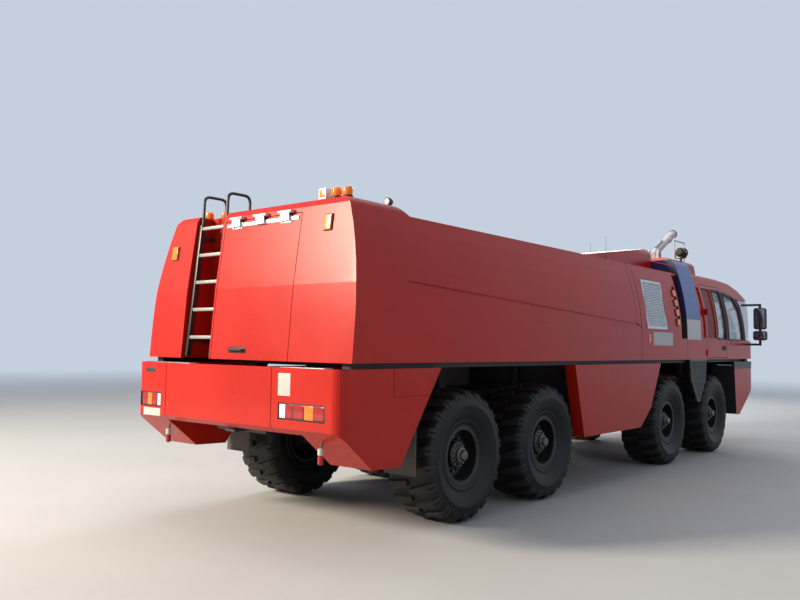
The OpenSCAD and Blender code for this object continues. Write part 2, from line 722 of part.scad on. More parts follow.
// Height of each head's foot, its height and its width
mirror_heads = [[2210, 410, 220], [2000, 180, 240]];
mirror_r = 45;
module mirror_head(high, wide) rotate([90, 0, 90]) linear_extrude(height = 85) union() {
    translate([-wide / 2, mirror_r]) square([wide, high - 2 * mirror_r]);
    translate([-wide / 2 + mirror_r, 0]) square([wide - 2 * mirror_r, high]);
    for (y = [-1, 1]) for (z = [mirror_r, high - mirror_r]) translate([y * (wide / 2 - mirror_r), z])
        circle(r = mirror_r, $fn = 32);
}
module mirrors() color("black") placed() for (s = [-1, 1]) scale([1, s, 1]) {
    for (head = mirror_heads) translate([mirror_x, mirror_y, head[0]]) mirror_head(head[1], head[2]);
    difference() {
        union() {
            block([mirror_x + 20, 1380, 2660], [mirror_x + 60, mirror_y + 20, 2700]);
            block([mirror_x + 20, 1380, 1900], [mirror_x + 60, mirror_y + 20, 1940]);
            block([mirror_x + 20, mirror_y - 20, 1900], [mirror_x + 60, mirror_y + 20, 2700]);
        }
        cab_form(-seat_gap);
    }
}

// Amber domes on round bases in two groups on the raised rear roof edge, beside one square lamp
dome_places = [[400, -1030], [420, -1150], [600, 1120], [690, 960]];
dome_r = 49;
dome_h = 110;
square_lamp = 100;
module amber_beacons() color("orange") placed() translate([0, 0, roof_z + raise_h + seat_gap]) {
    for (p = dome_places) translate([p[0], p[1], 0]) rotate_extrude($fn = 40)
        polygon([[0, 0], [dome_r + 3, 0], [dome_r + 3, 18], [dome_r - 2, 24], [dome_r, 40], [dome_r, 78],
            [dome_r - 5, 97], [dome_r - 19, 106], [0, dome_h]]);
    translate([400 - square_lamp / 2, -890 - square_lamp / 2, 0]) cube([square_lamp, square_lamp, dome_h]);
}

module mud_flaps() color("dimgray") placed() for (s = [-1, 1]) scale([1, s, 1]) difference() {
    block([1150, 1010, 560], [1165, 1400, 1300]);
    translate([0, 0, -seat_gap * 2]) rear_lower_form(0, 0);
    rear_lower_form(0, 0);
}

// Ladder frame with crossmembers, body pedestals and outriggers to the lower panels
frame_x0 = split_d + seat_gap;
frame_x1 = length - 800;
rail_t = 90;
post_x = [700, 2800, 4600, cab_x - 2800, cab_x - 1800, cab_x - 300, length - 1400, length - 950];
post_l = 120;
cross_x = [480, 2750, 4500, cab_x - 2900, cab_x - 2100, cab_x - 200, length - 1500, frame_x1 - 120];
tow_x = 110;
tow_z = 1000;
tow_r = 20;
tow_t = 22;
module frame() color("dimgray") placed() {
    for (s = [-1, 1]) scale([1, s, 1]) {
        across(rail_y - rail_t, rail_y)
            polygon([[frame_x0, 1120], [frame_x0 + 420, rail_z], [frame_x1, rail_z],
            [frame_x1, rail_top], [frame_x0, rail_top]]);
        block([620, rail_y + seat_gap, 1130], [740, trough - seat_gap, 1230]);
    }
    for (x = cross_x) block([x, -rail_y + rail_t + seat_gap, rail_z + 40],
        [x + 120, rail_y - rail_t - seat_gap, rail_top - 40]);
    for (x = post_x) pair([x, rail_y - rail_t, rail_top + seat_gap], [x + post_l, rail_y, skirt_z]);
}
// Rear tow jaw: two plates with one upright bore, on a crossmember between the rail ends
module tow_jaw() color("black") placed() difference() {
    union() {
        block([200, -rail_y + rail_t + seat_gap, 950], [320, rail_y - rail_t - seat_gap, rail_top - 40]);
        for (m = [-1, 1]) block([frame_x0, -70, tow_z + m * 30 - tow_t / 2], [201, 70,
            tow_z + m * 30 + tow_t / 2]);
    }
    translate([tow_x + 10, 0, tow_z - 100]) cylinder(r = tow_r, h = 200, $fn = 40);
}

// Subframe between the frame and the bodies: bearers across the frame's posts, and a sill along each side
sill_y = half_w - 70;
sill_w = 100;
nose_bearer_x = length - 800;
module subframe() color("dimgray") placed() {
    pair([200, sill_y - sill_w, skirt_z + seat_gap], [nose_bearer_x - seat_gap, sill_y, body_z - seat_gap]);
    for (x = post_x) block([x, -sill_y + sill_w + seat_gap, skirt_z + seat_gap],
        [x + post_l, sill_y - sill_w - seat_gap, body_z - seat_gap]);
    block([nose_bearer_x, -half_w + 4, skirt_z + seat_gap], [nose_bearer_x + post_l, half_w - 4,
        body_z - seat_gap]);
}

// Engine at the rear between the rails, one plain block
module engine() color("gray") placed() block([760, -rail_y + rail_t + seat_gap, rail_z + 60],
    [2300, rail_y - rail_t - seat_gap, 1560]);

// Fuel tank and battery boxes behind the middle skirts
module side_tanks() color("dimgray") placed()
    pair([mid_x + 420, rail_y + seat_gap, 800], [mid_x + mid_l - 890, half_w - 260, skirt_z]);

// Axle beams with their differential housings
beam_r = 85;
diff_r = 210;
eye_r = 75;
eye_h = 196;
pin_r = 34;
module beam(x, reach) translate([x, 0, tyre_r]) {
    rotate([90, 0, 0]) cylinder(r = beam_r, h = 2 * reach, center = true, $fn = 40);
    sphere(r = diff_r, $fn = 40);
}
module front_axles() color("dimgray") placed() {
    for (x = [axle_x[0], axle_x[1]]) front_axle(x);
    shaft(axle_x[0], axle_x[1]);
    shaft(axle_x[1], axle_x[2]);
}
module front_axle(x) difference() {
    union() {
        beam(x, pivot_y - 40);
        for (s = [-1, 1]) translate([x, s * pivot_y, tyre_r - eye_h / 2]) cylinder(r = eye_r, h = eye_h,
            $fn = 40);
    }
    for (s = [-1, 1]) translate([x, s * pivot_y, 0]) cylinder(r = pin_r + running, h = 2 * tyre_r, $fn = 40);
}
hub_in = 130;
hub_l = 300;
module rear_axles() color("dimgray") placed() {
    for (x = [axle_x[2], axle_x[3]]) rear_axle(x);
    shaft(axle_x[2], axle_x[3]);
}
module rear_axle(x) {
    beam(x, wheel_y - hub_in - 20);
    for (s = [-1, 1]) translate([x, s * (wheel_y - hub_in - 20), tyre_r]) rotate([-90 * s, 0, 0])
        cylinder(r = spindle_r, h = hub_l - 60, $fn = 40);
}

// Propeller shafts from one differential to the next
shaft_r = 48;
module shaft(from, to) translate([to + diff_r + seat_gap, 0, tyre_r]) rotate([0, 90, 0]) {
    cylinder(r = shaft_r, h = from - to - 2 * (diff_r + seat_gap), $fn = 32);
    for (x = [30, from - to - 2 * (diff_r + seat_gap) - 90]) translate([0, 0, x])
        cylinder(r = shaft_r + 26, h = 60, $fn = 32);
}

// Leaf spring packs between the axles and the rails
spring_y = rail_y - rail_t / 2;
module leaf_springs() color("dimgray") placed() for (x = axle_x) for (s = [-1, 1]) scale([1, s, 1]) {
    across(spring_y - 40, spring_y + 40) polygon([[x - 560, rail_z - seat_gap], [x - 560, rail_z - 40],
        [x - 120, tyre_r + beam_r + seat_gap], [x + 120, tyre_r + beam_r + seat_gap], [x + 560, rail_z - 40],
        [x + 560, rail_z - seat_gap], [x + 500, rail_z - seat_gap], [x + 150, tyre_r + beam_r + 80],
        [x - 150, tyre_r + beam_r + 80], [x - 500, rail_z - seat_gap]]);
}

// Steering knuckle: kingpin through the beam's eye, two arms, and the spindle
arm_gap = 6;
module knuckle(x, s) color("dimgray") placed() translate([x, s * pivot_y, tyre_r]) scale([1, s, 1]) {
    cylinder(r = pin_r, h = eye_h + 2 * arm_gap + 60, center = true, $fn = 40);
    for (m = [-1, 1]) translate([-50, -45, m > 0 ? eye_h / 2 + arm_gap : -eye_h / 2 - arm_gap - 40])
        cube([100, 145, 40]);
    translate([-60, eye_r + arm_gap, -eye_h / 2 - arm_gap - 40]) cube([120, 28, eye_h + 2 * arm_gap + 80]);
    translate([0, eye_r + arm_gap, 0]) rotate([-90, 0, 0]) cylinder(r = spindle_r, h = 250, $fn = 40);
}

// Wheel: rim barrel, dished disc and planetary hub, turned about Y, bored for the spindle
rim_w = 440;
rim_t = 18;
disc_y = 60;
cap_y = 250;
module wheel(x, s) color("dimgray") placed() translate([x, s * wheel_y, tyre_r]) rotate([-90 * s, 0, 0])
    rotate_extrude($fn = 64) polygon([[spindle_r + running, -hub_in + 45], [120, -hub_in + 45], [130,
        disc_y - 30],
        [rim_r - rim_t - 30, disc_y - 10], [rim_r - rim_t, disc_y - 30], [rim_r - rim_t, -rim_w / 2],
            [rim_r + 22, -rim_w / 2],
        [rim_r + 22, -rim_w / 2 + 16], [rim_r, -rim_w / 2 + 22], [rim_r, rim_w / 2 - 22], [rim_r + 22,
            rim_w / 2 - 16],
        [rim_r + 22, rim_w / 2], [rim_r - rim_t, rim_w / 2], [rim_r - rim_t, disc_y + 10],
            [rim_r - rim_t - 40, disc_y + 20],
        [140, disc_y], [130, 150], [95, 190], [60, 200], [50, cap_y], [0, cap_y], [0, 140],
            [spindle_r + running, 140]]);

// Tyre: stiff sidewalls on the rim, and shoulder lugs between slanting grooves cut into the crown
tread_w = tyre_w - 60;
lug_h = 30;
lug_n = 22;
groove_w = 84;
groove_lean = 13;
shoulder_drop = 34;
function tyre_side(w) = let (r0 = rim_r + seat_gap)
    [[r0, w], [rim_r + 24, w + 4], [r0 + 40, w + 14], [r0 + 110, tyre_w / 2 - 6],
    [(r0 + tyre_r) / 2 + 20, tyre_w / 2], [tyre_r - 90, tyre_w / 2 - 8],
    [tyre_r - shoulder_drop, tread_w / 2], [tyre_r - 5, tread_w / 2 - 60], [tyre_r, tread_w / 4]];
function tyre_profile() = let (side = tyre_side(rim_w / 2 - 23))
    concat(side, [for (i = [len(side) - 1:-1:0]) [side[i][0], -side[i][1]]]);
// One groove as an outline of radius and height, from near the centre over the shoulder to the sidewall
function groove_side() = [[tyre_r - lug_h, 24], [tyre_r - lug_h - 4, tread_w / 2 - 80],
    [tyre_r - lug_h - 30, tread_w / 2 - 16], [tyre_r - 118, tyre_w / 2 - 9], [tyre_r - 126, tyre_w / 2 + 20],
    [tyre_r + 20, tyre_w / 2 + 20], [tyre_r + 20, 24]];
module groove(side) rotate([side * groove_lean, 0, 0]) rotate([90, 0, 0]) scale([1, side, 1])
    linear_extrude(height = groove_w, center = true) polygon(groove_side());
module tyre(x, s) color([0.1, 0.1, 0.1]) placed() translate([x, s * wheel_y, tyre_r]) rotate([-90 * s, 0, 0])
    difference() {
        rotate_extrude($fn = 72) polygon(tyre_profile());
        for (i = [0:lug_n - 1]) {
            rotate([0, 0, (i + 0.25) * 360 / lug_n]) groove(1);
            rotate([0, 0, (i + 0.75) * 360 / lug_n]) groove(-1);
        }
    }

frame();
subframe();
tow_jaw();
front_axles();
rear_axles();
leaf_springs();
engine();
side_tanks();
tank_body();
pump_housing();
roof_hood();
rear_corners();
rear_centre_panel();
middle_skirts();
front_bumper();
cab_shell();
arch_band();
arch_feet();
roof_fairing();
cab_glass();
grilles();
ladder();
grab_rails();
mirrors();
amber_beacons();
tail_lamps();
headlamps();
flank_lamps();
seats();
dashboard();
searchlight();
mud_flaps();
rear_hatch();
door(-1);  // door_right
door(1);  // door_left
door_glass(-1);  // door_glass_right
door_glass(1);  // door_glass_left
monitor_turret();
monitor_barrel();
knuckle(axle_x[0], -1);  // knuckle_1_right
knuckle(axle_x[0], 1);  // knuckle_1_left
knuckle(axle_x[1], -1);  // knuckle_2_right
knuckle(axle_x[1], 1);  // knuckle_2_left
for (i = [0:3]) {
    wheel(axle_x[i], -1);
    wheel(axle_x[i], 1);
    tyre(axle_x[i], -1);
    tyre(axle_x[i], 1);
}
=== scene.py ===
"""Looks, small parts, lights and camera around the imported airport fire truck."""
from math import atan, atan2, cos, exp, pi, radians, sin, sqrt

import bmesh
import bpy
from mathutils import Matrix, Vector


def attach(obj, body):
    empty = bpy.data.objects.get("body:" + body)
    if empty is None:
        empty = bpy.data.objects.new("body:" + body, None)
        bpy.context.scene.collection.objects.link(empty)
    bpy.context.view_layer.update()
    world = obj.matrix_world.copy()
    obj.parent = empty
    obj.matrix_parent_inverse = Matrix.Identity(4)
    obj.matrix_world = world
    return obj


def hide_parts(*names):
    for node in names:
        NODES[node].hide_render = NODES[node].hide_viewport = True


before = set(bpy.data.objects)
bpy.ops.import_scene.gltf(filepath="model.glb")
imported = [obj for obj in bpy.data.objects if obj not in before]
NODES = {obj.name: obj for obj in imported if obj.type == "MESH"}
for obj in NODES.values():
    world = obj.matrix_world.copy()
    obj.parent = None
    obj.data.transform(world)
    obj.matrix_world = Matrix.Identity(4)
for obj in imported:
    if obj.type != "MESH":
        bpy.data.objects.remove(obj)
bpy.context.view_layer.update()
scene = bpy.context.scene

# Stations are measured forward from the rear face, in metres
NOSE = 12.1
HALF_W = 1.5
FLANK_LEAN = 0.23
FLANK_Z = 2.0
BODY_Z = 1.64
ROOF_Z = 3.05
RAISE = 0.09
BODY_TOP = ROOF_Z + RAISE
CAB_TOP = 3.13
PLATFORM = 3.41
AXLES = [9.72, 7.60, 3.68, 1.99]
WHEEL_Y = 1.14
TYRE_R = 0.68
MONITOR_X, MONITOR_Y, MONITOR_Z = 9.70, -0.33, PLATFORM + 0.18
LIGHT_X, LIGHT_Y = 9.80, -0.80


def sx(station):
    return station - NOSE / 2


def spot(x, y, z):
    return Vector((sx(x), y, z))


def spots(*points):
    return [spot(*p) for p in points]


def stand(x, y, z, turn=0.0, axis="Y"):
    """Matrix that stands a shape at a station, turned about one axis."""
    return Matrix.Translation(spot(x, y, z)) @ Matrix.Rotation(turn, 4, axis)


def flank(z, top):
    share = max(0.0, (z - FLANK_Z) / (top - FLANK_Z))
    return HALF_W - FLANK_LEAN * share * share


def along(points, z):
    """Station at height z on a line through (height, station) points."""
    for (z0, x0), (z1, x1) in zip(points, points[1:]):
        if z <= z1:
            return x0 + (x1 - x0) * (z - z0) / (z1 - z0)
    return points[-1][1]


# Materials
def feed(tree, target, **inputs):
    """Set a shader node's inputs, with _ for a space, or link them when they are given a socket."""
    for name, value in inputs.items():
        sink = target.inputs[name.replace("_", " ")]
        if isinstance(value, bpy.types.NodeSocket):
            tree.links.new(value, sink)
        else:
            sink.default_value = value
    return target


def make(tree, kind, **inputs):
    return feed(tree, tree.nodes.new("ShaderNode" + kind), **inputs)


def mix_colour(tree, blend, **inputs):
    mix = make(tree, "Mix")
    mix.data_type = "RGBA"
    mix.blend_type = blend
    return feed(tree, mix, **inputs).outputs["Result"]


def maths(tree, operation, a, b):
    made = make(tree, "Math")
    made.operation = operation
    tree.links.new(a, made.inputs[0])
    tree.links.new(b, made.inputs[1])
    return made.outputs["Value"]


def material(name, rgb, rough, vary=0.12, scale=3.0, bump=0.0, metal=0.0, coat=0.0, dust=0.0,
        dust_rgb=(0.30, 0.25, 0.20), dust_top=1.6, bump_scale=200.0, rough_vary=0.08, sheen=0.0,
        transmission=0.0, alpha=1.0, emission=0.0, speck=0.0, spec=0.5):
    """Finish whose colour and gloss vary, under dust that thins out with height."""
    m = bpy.data.materials.new(name)
    m.use_nodes = True
    t = m.node_tree
    p = feed(t, t.nodes["Principled BSDF"], Metallic=metal, Coat_Weight=coat, Coat_Roughness=0.06,
        Specular_IOR_Level=spec, Sheen_Weight=sheen, Transmission_Weight=transmission, Alpha=alpha)
    if emission:
        feed(t, p, Emission_Color=(*rgb, 1), Emission_Strength=emission)
    at = make(t, "TexCoord").outputs["Object"]
    big = make(t, "TexNoise", Vector=at, Scale=scale, Detail=6, Roughness=0.62).outputs["Fac"]
    fine = make(t, "TexNoise", Vector=at, Scale=bump_scale, Detail=4).outputs["Fac"]
    ramp = make(t, "ValToRGB", Fac=big)
    low, high = ramp.color_ramp.elements
    low.position, high.position = 0.30, 0.72
    low.color = (*[c * (1 - vary) for c in rgb], 1)
    high.color = (*[min(1, c * (1 + vary * 0.6) + vary * 0.01) for c in rgb], 1)
    colour = ramp.outputs["Color"]
    if speck:
        colour = mix_colour(t, "MULTIPLY", Factor=speck, A=colour, B=fine)
    if dust:
        height = make(t, "SeparateXYZ", Vector=at).outputs["Z"]
        fall = make(t, "MapRange", Value=height, From_Min=0.25, From_Max=dust_top, To_Min=dust,
            To_Max=dust * 0.12)
        cloud = make(t, "TexNoise", Vector=at, Scale=5.5, Detail=8)
        amount = maths(t, "MULTIPLY", fall.outputs["Result"], cloud.outputs["Fac"])
        colour = mix_colour(t, "MIX", Factor=amount, A=colour, B=(*dust_rgb, 1))
    gloss = make(t, "MapRange", Value=big, To_Min=max(0.02, rough - rough_vary),
        To_Max=min(1.0, rough + rough_vary))
    feed(t, p, Base_Color=colour, Roughness=gloss.outputs["Result"])
    if bump:
        feed(t, p, Normal=make(t, "Bump", Height=fine, Strength=0.6, Distance=bump).outputs["Normal"])
    return m


# Each finish: name, colour, roughness, how much it varies, how finely, height of its grain, and more
M = {
    "red": material("red_paint", (0.47, 0.013, 0.005), 0.30, 0.10, 1.3, 0.0002, coat=0.12, dust=0.05,
        dust_rgb=(0.30, 0.10, 0.06), dust_top=2.0, bump_scale=24, spec=0.22),
    "blue": material("blue_paint", (0.060, 0.150, 0.42), 0.34, 0.10, 2, 0.0004, coat=0.2, spec=0.3,
        bump_scale=60),
    "pale": material("pale_panel", (0.64, 0.61, 0.60), 0.45, 0.1, 4, 0.0003, dust=0.15),
    "black": material("black_paint", (0.018, 0.018, 0.020), 0.38, 0.2, 6, 0.0003, dust=0.12),
    "trim": material("black_trim", (0.012, 0.012, 0.013), 0.55, 0.2, 9, 0.0004),
    "chassis": material("chassis_paint", (0.015, 0.015, 0.016), 0.6, 0.3, 5, 0.0008, dust=0.15,
        bump_scale=90),
    "cast": material("cast_metal", (0.035, 0.034, 0.033), 0.62, 0.3, 7, 0.0012, metal=0.35, dust=0.15,
        bump_scale=110),
    "rim": material("rim_paint", (0.009, 0.009, 0.011), 0.42, 0.3, 6, 0.0005, dust=0.08, dust_top=1.3,
        bump_scale=120),
    "hub": material("worn_hub", (0.16, 0.155, 0.15), 0.42, 0.4, 22, 0.0006, metal=0.7, dust=0.15,
        bump_scale=140),
    "steel": material("bolt_steel", (0.35, 0.34, 0.33), 0.4, 0.3, 30, 0.0003, metal=0.9),
    "alu": material("aluminium", (0.66, 0.69, 0.73), 0.38, 0.12, 14, 0.0004, metal=0.6, bump_scale=160),
    "tyre": material("tyre_rubber", (0.006, 0.006, 0.007), 0.5, 0.3, 7, 0.0012, dust=0.04, spec=0.3,
        dust_rgb=(0.10, 0.09, 0.08), dust_top=1.5, bump_scale=150),
    # Lugs are lighter than the sidewall, partly from dust and partly as a painted highlight over the darker
    # grooves
    "lug": material("lug_rubber", (0.012, 0.0115, 0.011), 0.6, 0.35, 16, 0.0012, dust=0.12, spec=0.35,
        dust_rgb=(0.14, 0.13, 0.12), dust_top=1.5, bump_scale=150),
    "flap": material("flap_rubber", (0.05, 0.05, 0.052), 0.8, 0.3, 9, 0.0008, dust=0.4),
    "glass": material("clear_glass", (0.30, 0.38, 0.41), 0.04, 0.04, 2, transmission=0.5, alpha=0.34,
        rough_vary=0.02, coat=0.3),
    "mirror": material("mirror_face", (0.22, 0.23, 0.25), 0.07, 0.03, metal=1.0, rough_vary=0.02),
    "red_lens": material("red_lens", (0.36, 0.005, 0.008), 0.2, 0.15, 18, coat=0.25, emission=0.02),
    "amber": material("amber_lens", (0.85, 0.20, 0.008), 0.2, 0.15, 18, coat=0.3, emission=0.10),
    "clear": material("clear_lens", (0.82, 0.84, 0.86), 0.12, 0.08, 20, coat=0.7, emission=0.05),
    "white": material("white_plate", (0.50, 0.50, 0.48), 0.35, 0.07, 8, 0.0002, dust=0.12),
    "tread": material("tread_plate", (0.46, 0.47, 0.48), 0.4, 0.15, 20, 0.0005, metal=0.8),
    "seat": material("seat_fabric", (0.035, 0.037, 0.045), 0.9, 0.25, 12, 0.0015, bump_scale=420, sheen=0.4,
        speck=0.5),
    "plastic": material("grained_plastic", (0.028, 0.028, 0.030), 0.6, 0.15, 9, 0.0009, bump_scale=380),
    "grey": material("monitor_paint", (0.56, 0.55, 0.58), 0.5, 0.12, 8, 0.0005),
    # Darker blue for painted shade on the band's rear faces
    "painted_shade_blue": material("shaded_blue", (0.012, 0.016, 0.085), 0.5, 0.15, 4, 0.0004),
    "rung": material("rung_metal", (0.27, 0.27, 0.27), 0.5, 0.2, 20, 0.0005, metal=0.4),
    "mesh": material("perforated_metal", (0.13, 0.125, 0.125), 0.5, 0.25, 14, 0.0004, metal=0.4),
    "strip": material("step_strip", (0.11, 0.10, 0.10), 0.5, 0.25, 9, 0.0006, metal=0.4),
    # Darker red for painted shade in the door flutes
    "painted_shade_red": material("shaded_red", (0.20, 0.008, 0.006), 0.5, 0.15, 4, 0.0004, dust=0.1),
    # Near-black, for real black faces and for painted shade in holes, behind grilles and on returns
    "inside": material("black_and_painted_shade", (0.010, 0.010, 0.011), 0.9, 0.3, 8, 0.001),
}

NODES_IN = {
    "red": "tank_body pump_housing roof_hood rear_corners rear_centre_panel middle_skirts front_bumper"
           " cab_shell roof_fairing rear_hatch door_right door_left",
    "chassis": "frame side_tanks", "trim": "subframe searchlight", "black": "tow_jaw grab_rails",
    "blue": "arch_band", "pale": "arch_feet", "glass": "cab_glass door_glass_right door_glass_left",
    "alu": "grilles ladder", "plastic": "mirrors dashboard", "seat": "seats", "flap": "mud_flaps",
    "amber": "amber_beacons flank_lamps", "red_lens": "tail_lamps", "clear": "headlamps",
    "grey": "monitor_turret monitor_barrel",
}
FINISH = {node: key for key, nodes in NODES_IN.items() for node in nodes.split()}
for node, obj in NODES.items():
    key = FINISH.get(node) or {"tyre": "tyre", "wheel": "rim"}.get(node.split("_")[0], "cast")
    if not obj.data.materials:
        obj.data.materials.append(M[key])
    for i in range(len(obj.data.materials)):
        obj.data.materials[i] = M[key]


def shade_faces(node, key, chosen):
    """Give the faces of a node that are chosen by centre and normal another finish."""
    me = NODES[node].data
    at = NODES[node].matrix_world
    me.materials.append(M[key])
    k = len(me.materials) - 1
    turn = at.to_3x3()
    for f in me.polygons:
        if chosen(at @ f.center, turn @ f.normal):
            f.material_index = k


# The flutes behind the door glass, painted a darker red as shade, and the middle of the cab
FLUTE_X, FLUTE_Z = (9.12, 9.62), (1.99, 2.95)
CAB_MIDDLE = spot(10.5, 0, 2.35)


def in_flute(c, n):
    lies = sx(FLUTE_X[0]) < c.x < sx(FLUTE_X[1]) and FLUTE_Z[0] < c.z < FLUTE_Z[1]
    return lies and abs(n.x) < 0.6 and 1.15 < abs(c.y) < flank(c.z, CAB_TOP) - 0.006


def looks_in(c, n):
    """Faces that look into the cab, which has a dark lining."""
    within = abs(c.y) < flank(c.z, CAB_TOP) - 0.045 and BODY_Z + 0.02 < c.z and c.x < sx(NOSE - 0.13)
    return within and n.dot((CAB_MIDDLE - c).normalized()) > 0.3


# Flute faces get a darker red as painted shade; faces looking into the cab get the dark lining
for node in ("cab_shell", "door_right", "door_left"):
    shade_faces(node, "painted_shade_red", in_flute)
    shade_faces(node, "plastic", looks_in)
# Rear-facing faces of the blue band are a darker blue, and those of its pale feet dark metal, as painted
# shade
shade_faces("arch_band", "painted_shade_blue", lambda c, n: n.x < -0.7)
shade_faces("arch_feet", "cast", lambda c, n: n.x < -0.7)
# Rear-facing return faces of the front bumper are near-black as painted shade
shade_faces("front_bumper", "inside", lambda c, n: n.x < -0.6)
# The searchlight's tube guard reaches above its drum, ahead of it and behind it
shade_faces("searchlight", "white", lambda c, n: c.z > PLATFORM + 0.325 or abs(c.x - sx(LIGHT_X)) > 0.14)


# Shapes
def part_from(bm):
    verts = [v.co.copy() for v in bm.verts]
    bm.verts.index_update()
    faces = [[v.index for v in f.verts] for f in bm.faces]
    bm.free()
    return verts, faces


def box(a, b, bevel=0.0, seg=2):
    """Box between two opposite corners, given in any order."""
    lo, hi = [Vector([end(p, q) for p, q in zip(a, b)]) for end in (min, max)]
    bm = bmesh.new()
    bmesh.ops.create_cube(bm, size=1.0, matrix=Matrix.Translation((lo + hi) / 2)
        @ Matrix.Diagonal((*(hi - lo), 1)))
    if bevel:
        bmesh.ops.bevel(bm, geom=bm.edges[:], offset=bevel, segments=seg, affect="EDGES", profile=0.6)
    return part_from(bm)


def block(x0, x1, y0, y1, z0, z1, bevel=0.0, seg=2):
    """Box between two stations, two breadths and two heights."""
    return box(spot(x0, y0, z0), spot(x1, y1, z1), bevel, seg)


def prism(outline, a, b, bevel=0.0):
    """Outline of (station, height) points, from breadth a to breadth b."""
    bm = bmesh.new()
    lo = [bm.verts.new((sx(x), a, z)) for x, z in outline]
    hi = [bm.verts.new((sx(x), b, z)) for x, z in outline]
    n = len(outline)
    bm.faces.new(lo)
    bm.faces.new(hi[::-1])
    for i in range(n):
        bm.faces.new([lo[i], lo[(i + 1) % n], hi[(i + 1) % n], hi[i]])
    bmesh.ops.recalc_face_normals(bm, faces=bm.faces[:])
    if bevel:
        bmesh.ops.bevel(bm, geom=bm.edges[:], offset=bevel, segments=2, affect="EDGES", profile=0.6)
    return part_from(bm)


def bar(sections):
    """Solid through sections of four corners each, closed at both ends."""
    last = 4 * (len(sections) - 1)
    faces = [[0, 1, 2, 3], [last + 3, last + 2, last + 1, last]]
    for i in range(0, last, 4):
        for a in range(4):
            b = (a + 1) % 4
            faces.append([i + a, i + b, i + 4 + b, i + 4 + a])
    return [Vector(v) for section in sections for v in section], faces


def circle(n, r, start=0.0):
    """n pairs of coordinates spread evenly round a circle of radius r."""
    return [(r * cos(2 * pi * (i + start) / n), r * sin(2 * pi * (i + start) / n)) for i in range(n)]


def lathe(profile, n=32):
    """Profile of (radius, height) pairs turned about Z; a radius of 0 closes the end."""
    verts, faces, rings = [], [], []
    for r, h in profile:
        rings.append([len(verts)] if r < 1e-6 else list(range(len(verts), len(verts) + n)))
        verts += [Vector((0, 0, h))] if r < 1e-6 else [Vector((u, v, h)) for u, v in circle(n, r)]
    for a, b in zip(rings, rings[1:]):
        for i in range(n):
            j = (i + 1) % n
            face = dict.fromkeys([a[i % len(a)], a[j % len(a)], b[j % len(b)], b[i % len(b)]])
            if len(face) > 2:
                faces.append(list(face))
    return verts, faces


def ring(profile, n=32):
    """Closed profile turned about Z, for a ring with a hole."""
    return lathe(list(profile) + [profile[0]], n)


def rod(p0, p1, r, n=12, bevel=0.0, r1=None):
    p0, p1 = Vector(p0), Vector(p1)
    d = p1 - p0
    h, e = d.length, bevel
    r1 = r if r1 is None else r1
    prof = [(0, 0), (r, 0), (r1, h), (0, h)]
    if e:
        prof = [(0, 0), (r - e, 0), (r, e), (r1, h - e), (r1 - e, h), (0, h)]
    return moved(lathe(prof, n), Matrix.Translation(p0) @ d.to_track_quat("Z", "Y").to_matrix().to_4x4())


def tube(points, r, n=10, closed=False):
    """Round tube along points; the last ring meets the first when closed."""
    pts = [Vector(p) for p in points]
    verts, faces = [], []
    count = len(pts)
    side = None
    ends = (pts[-1], pts[0]) if closed else (pts[0], pts[-1])
    for a, p, b in zip([ends[0]] + pts, pts, pts[1:] + [ends[1]]):
        t = (b - a).normalized()
        side = (t.orthogonal() if side is None else side - t * side.dot(t)).normalized()
        other = t.cross(side).normalized()
        verts += [p + side * u + other * v for u, v in circle(n, r)]
    for i in range(count if closed else count - 1):
        j = (i + 1) % count
        for k in range(n):
            k2 = (k + 1) % n
            faces.append([i * n + k, i * n + k2, j * n + k2, j * n + k])
    if not closed:
        faces.append(list(range(n))[::-1])
        faces.append([(count - 1) * n + k for k in range(n)])
    return verts, faces


def bent(points, radius, steps=6):
    """Path through points with its corners rounded."""
    out = [points[0]]
    for a, b, c in zip(points, points[1:], points[2:]):
        u, w = (a - b), (c - b)
        k = min(radius, u.length * 0.49, w.length * 0.49)
        p, q = b + u.normalized() * k, b + w.normalized() * k
        for i in range(steps + 1):
            t = i / steps
            out.append((p * (1 - t) + b * t) * (1 - t) + (b * (1 - t) + q * t) * t)
    out.append(points[-1])
    return out


def moved(part, matrix):
    return [matrix @ v for v in part[0]], part[1]


def mesh_of(name, verts, faces):
    me = bpy.data.meshes.new(name)
    me.from_pydata([tuple(v) for v in verts], [], faces)
    return me


def linked(name, data):
    o = bpy.data.objects.new(name, data)
    scene.collection.objects.link(o)
    return o


class Piece:
    """One mesh of many parts, each with its finish, that rides on a body."""

    def __init__(self, name, slot, body="chassis"):
        self.name, self.body, self.slot = name, body, slot
        self.verts, self.faces, self.index, self.mats = [], [], [], []

    def add(self, part, mat="trim", at=None):
        verts, faces = moved(part, at) if at else part
        if mat not in self.mats:
            self.mats.append(mat)
        base = len(self.verts)
        self.verts += verts
        self.faces += [[base + i for i in f] for f in faces]
        self.index += [self.mats.index(mat)] * len(faces)

    def done(self, *replaced, sharp=38):
        me = mesh_of(self.name, self.verts, self.faces)
        for key in self.mats:
            me.materials.append(M[key])
        me.polygons.foreach_set("material_index", self.index)
        bm = bmesh.new()
        bm.from_mesh(me)
        bmesh.ops.recalc_face_normals(bm, faces=bm.faces[:])
        bm.to_mesh(me)
        bm.free()
        me.polygons.foreach_set("use_smooth", [True] * len(me.polygons))
        me.set_sharp_from_angle(angle=radians(sharp))
        me.update()
        o = linked(self.name, me)
        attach(o, self.body)
        if replaced:
            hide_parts(*replaced)


# Tyres and wheels, modelled about the origin with +Z outwards
LUGS = 22
SIDE = [(0.292, 0.196), (0.296, 0.214), (0.318, 0.232), (0.345, 0.240), (0.352, 0.247), (0.362, 0.247),
    (0.370, 0.241), (0.420, 0.272), (0.470, 0.291), (0.505, 0.297), (0.512, 0.300), (0.524, 0.300),
    (0.531, 0.296), (0.565, 0.291), (0.600, 0.282), (0.628, 0.266), (0.642, 0.238), (0.648, 0.190),
    (0.651, 0.120), (0.652, 0.050)]
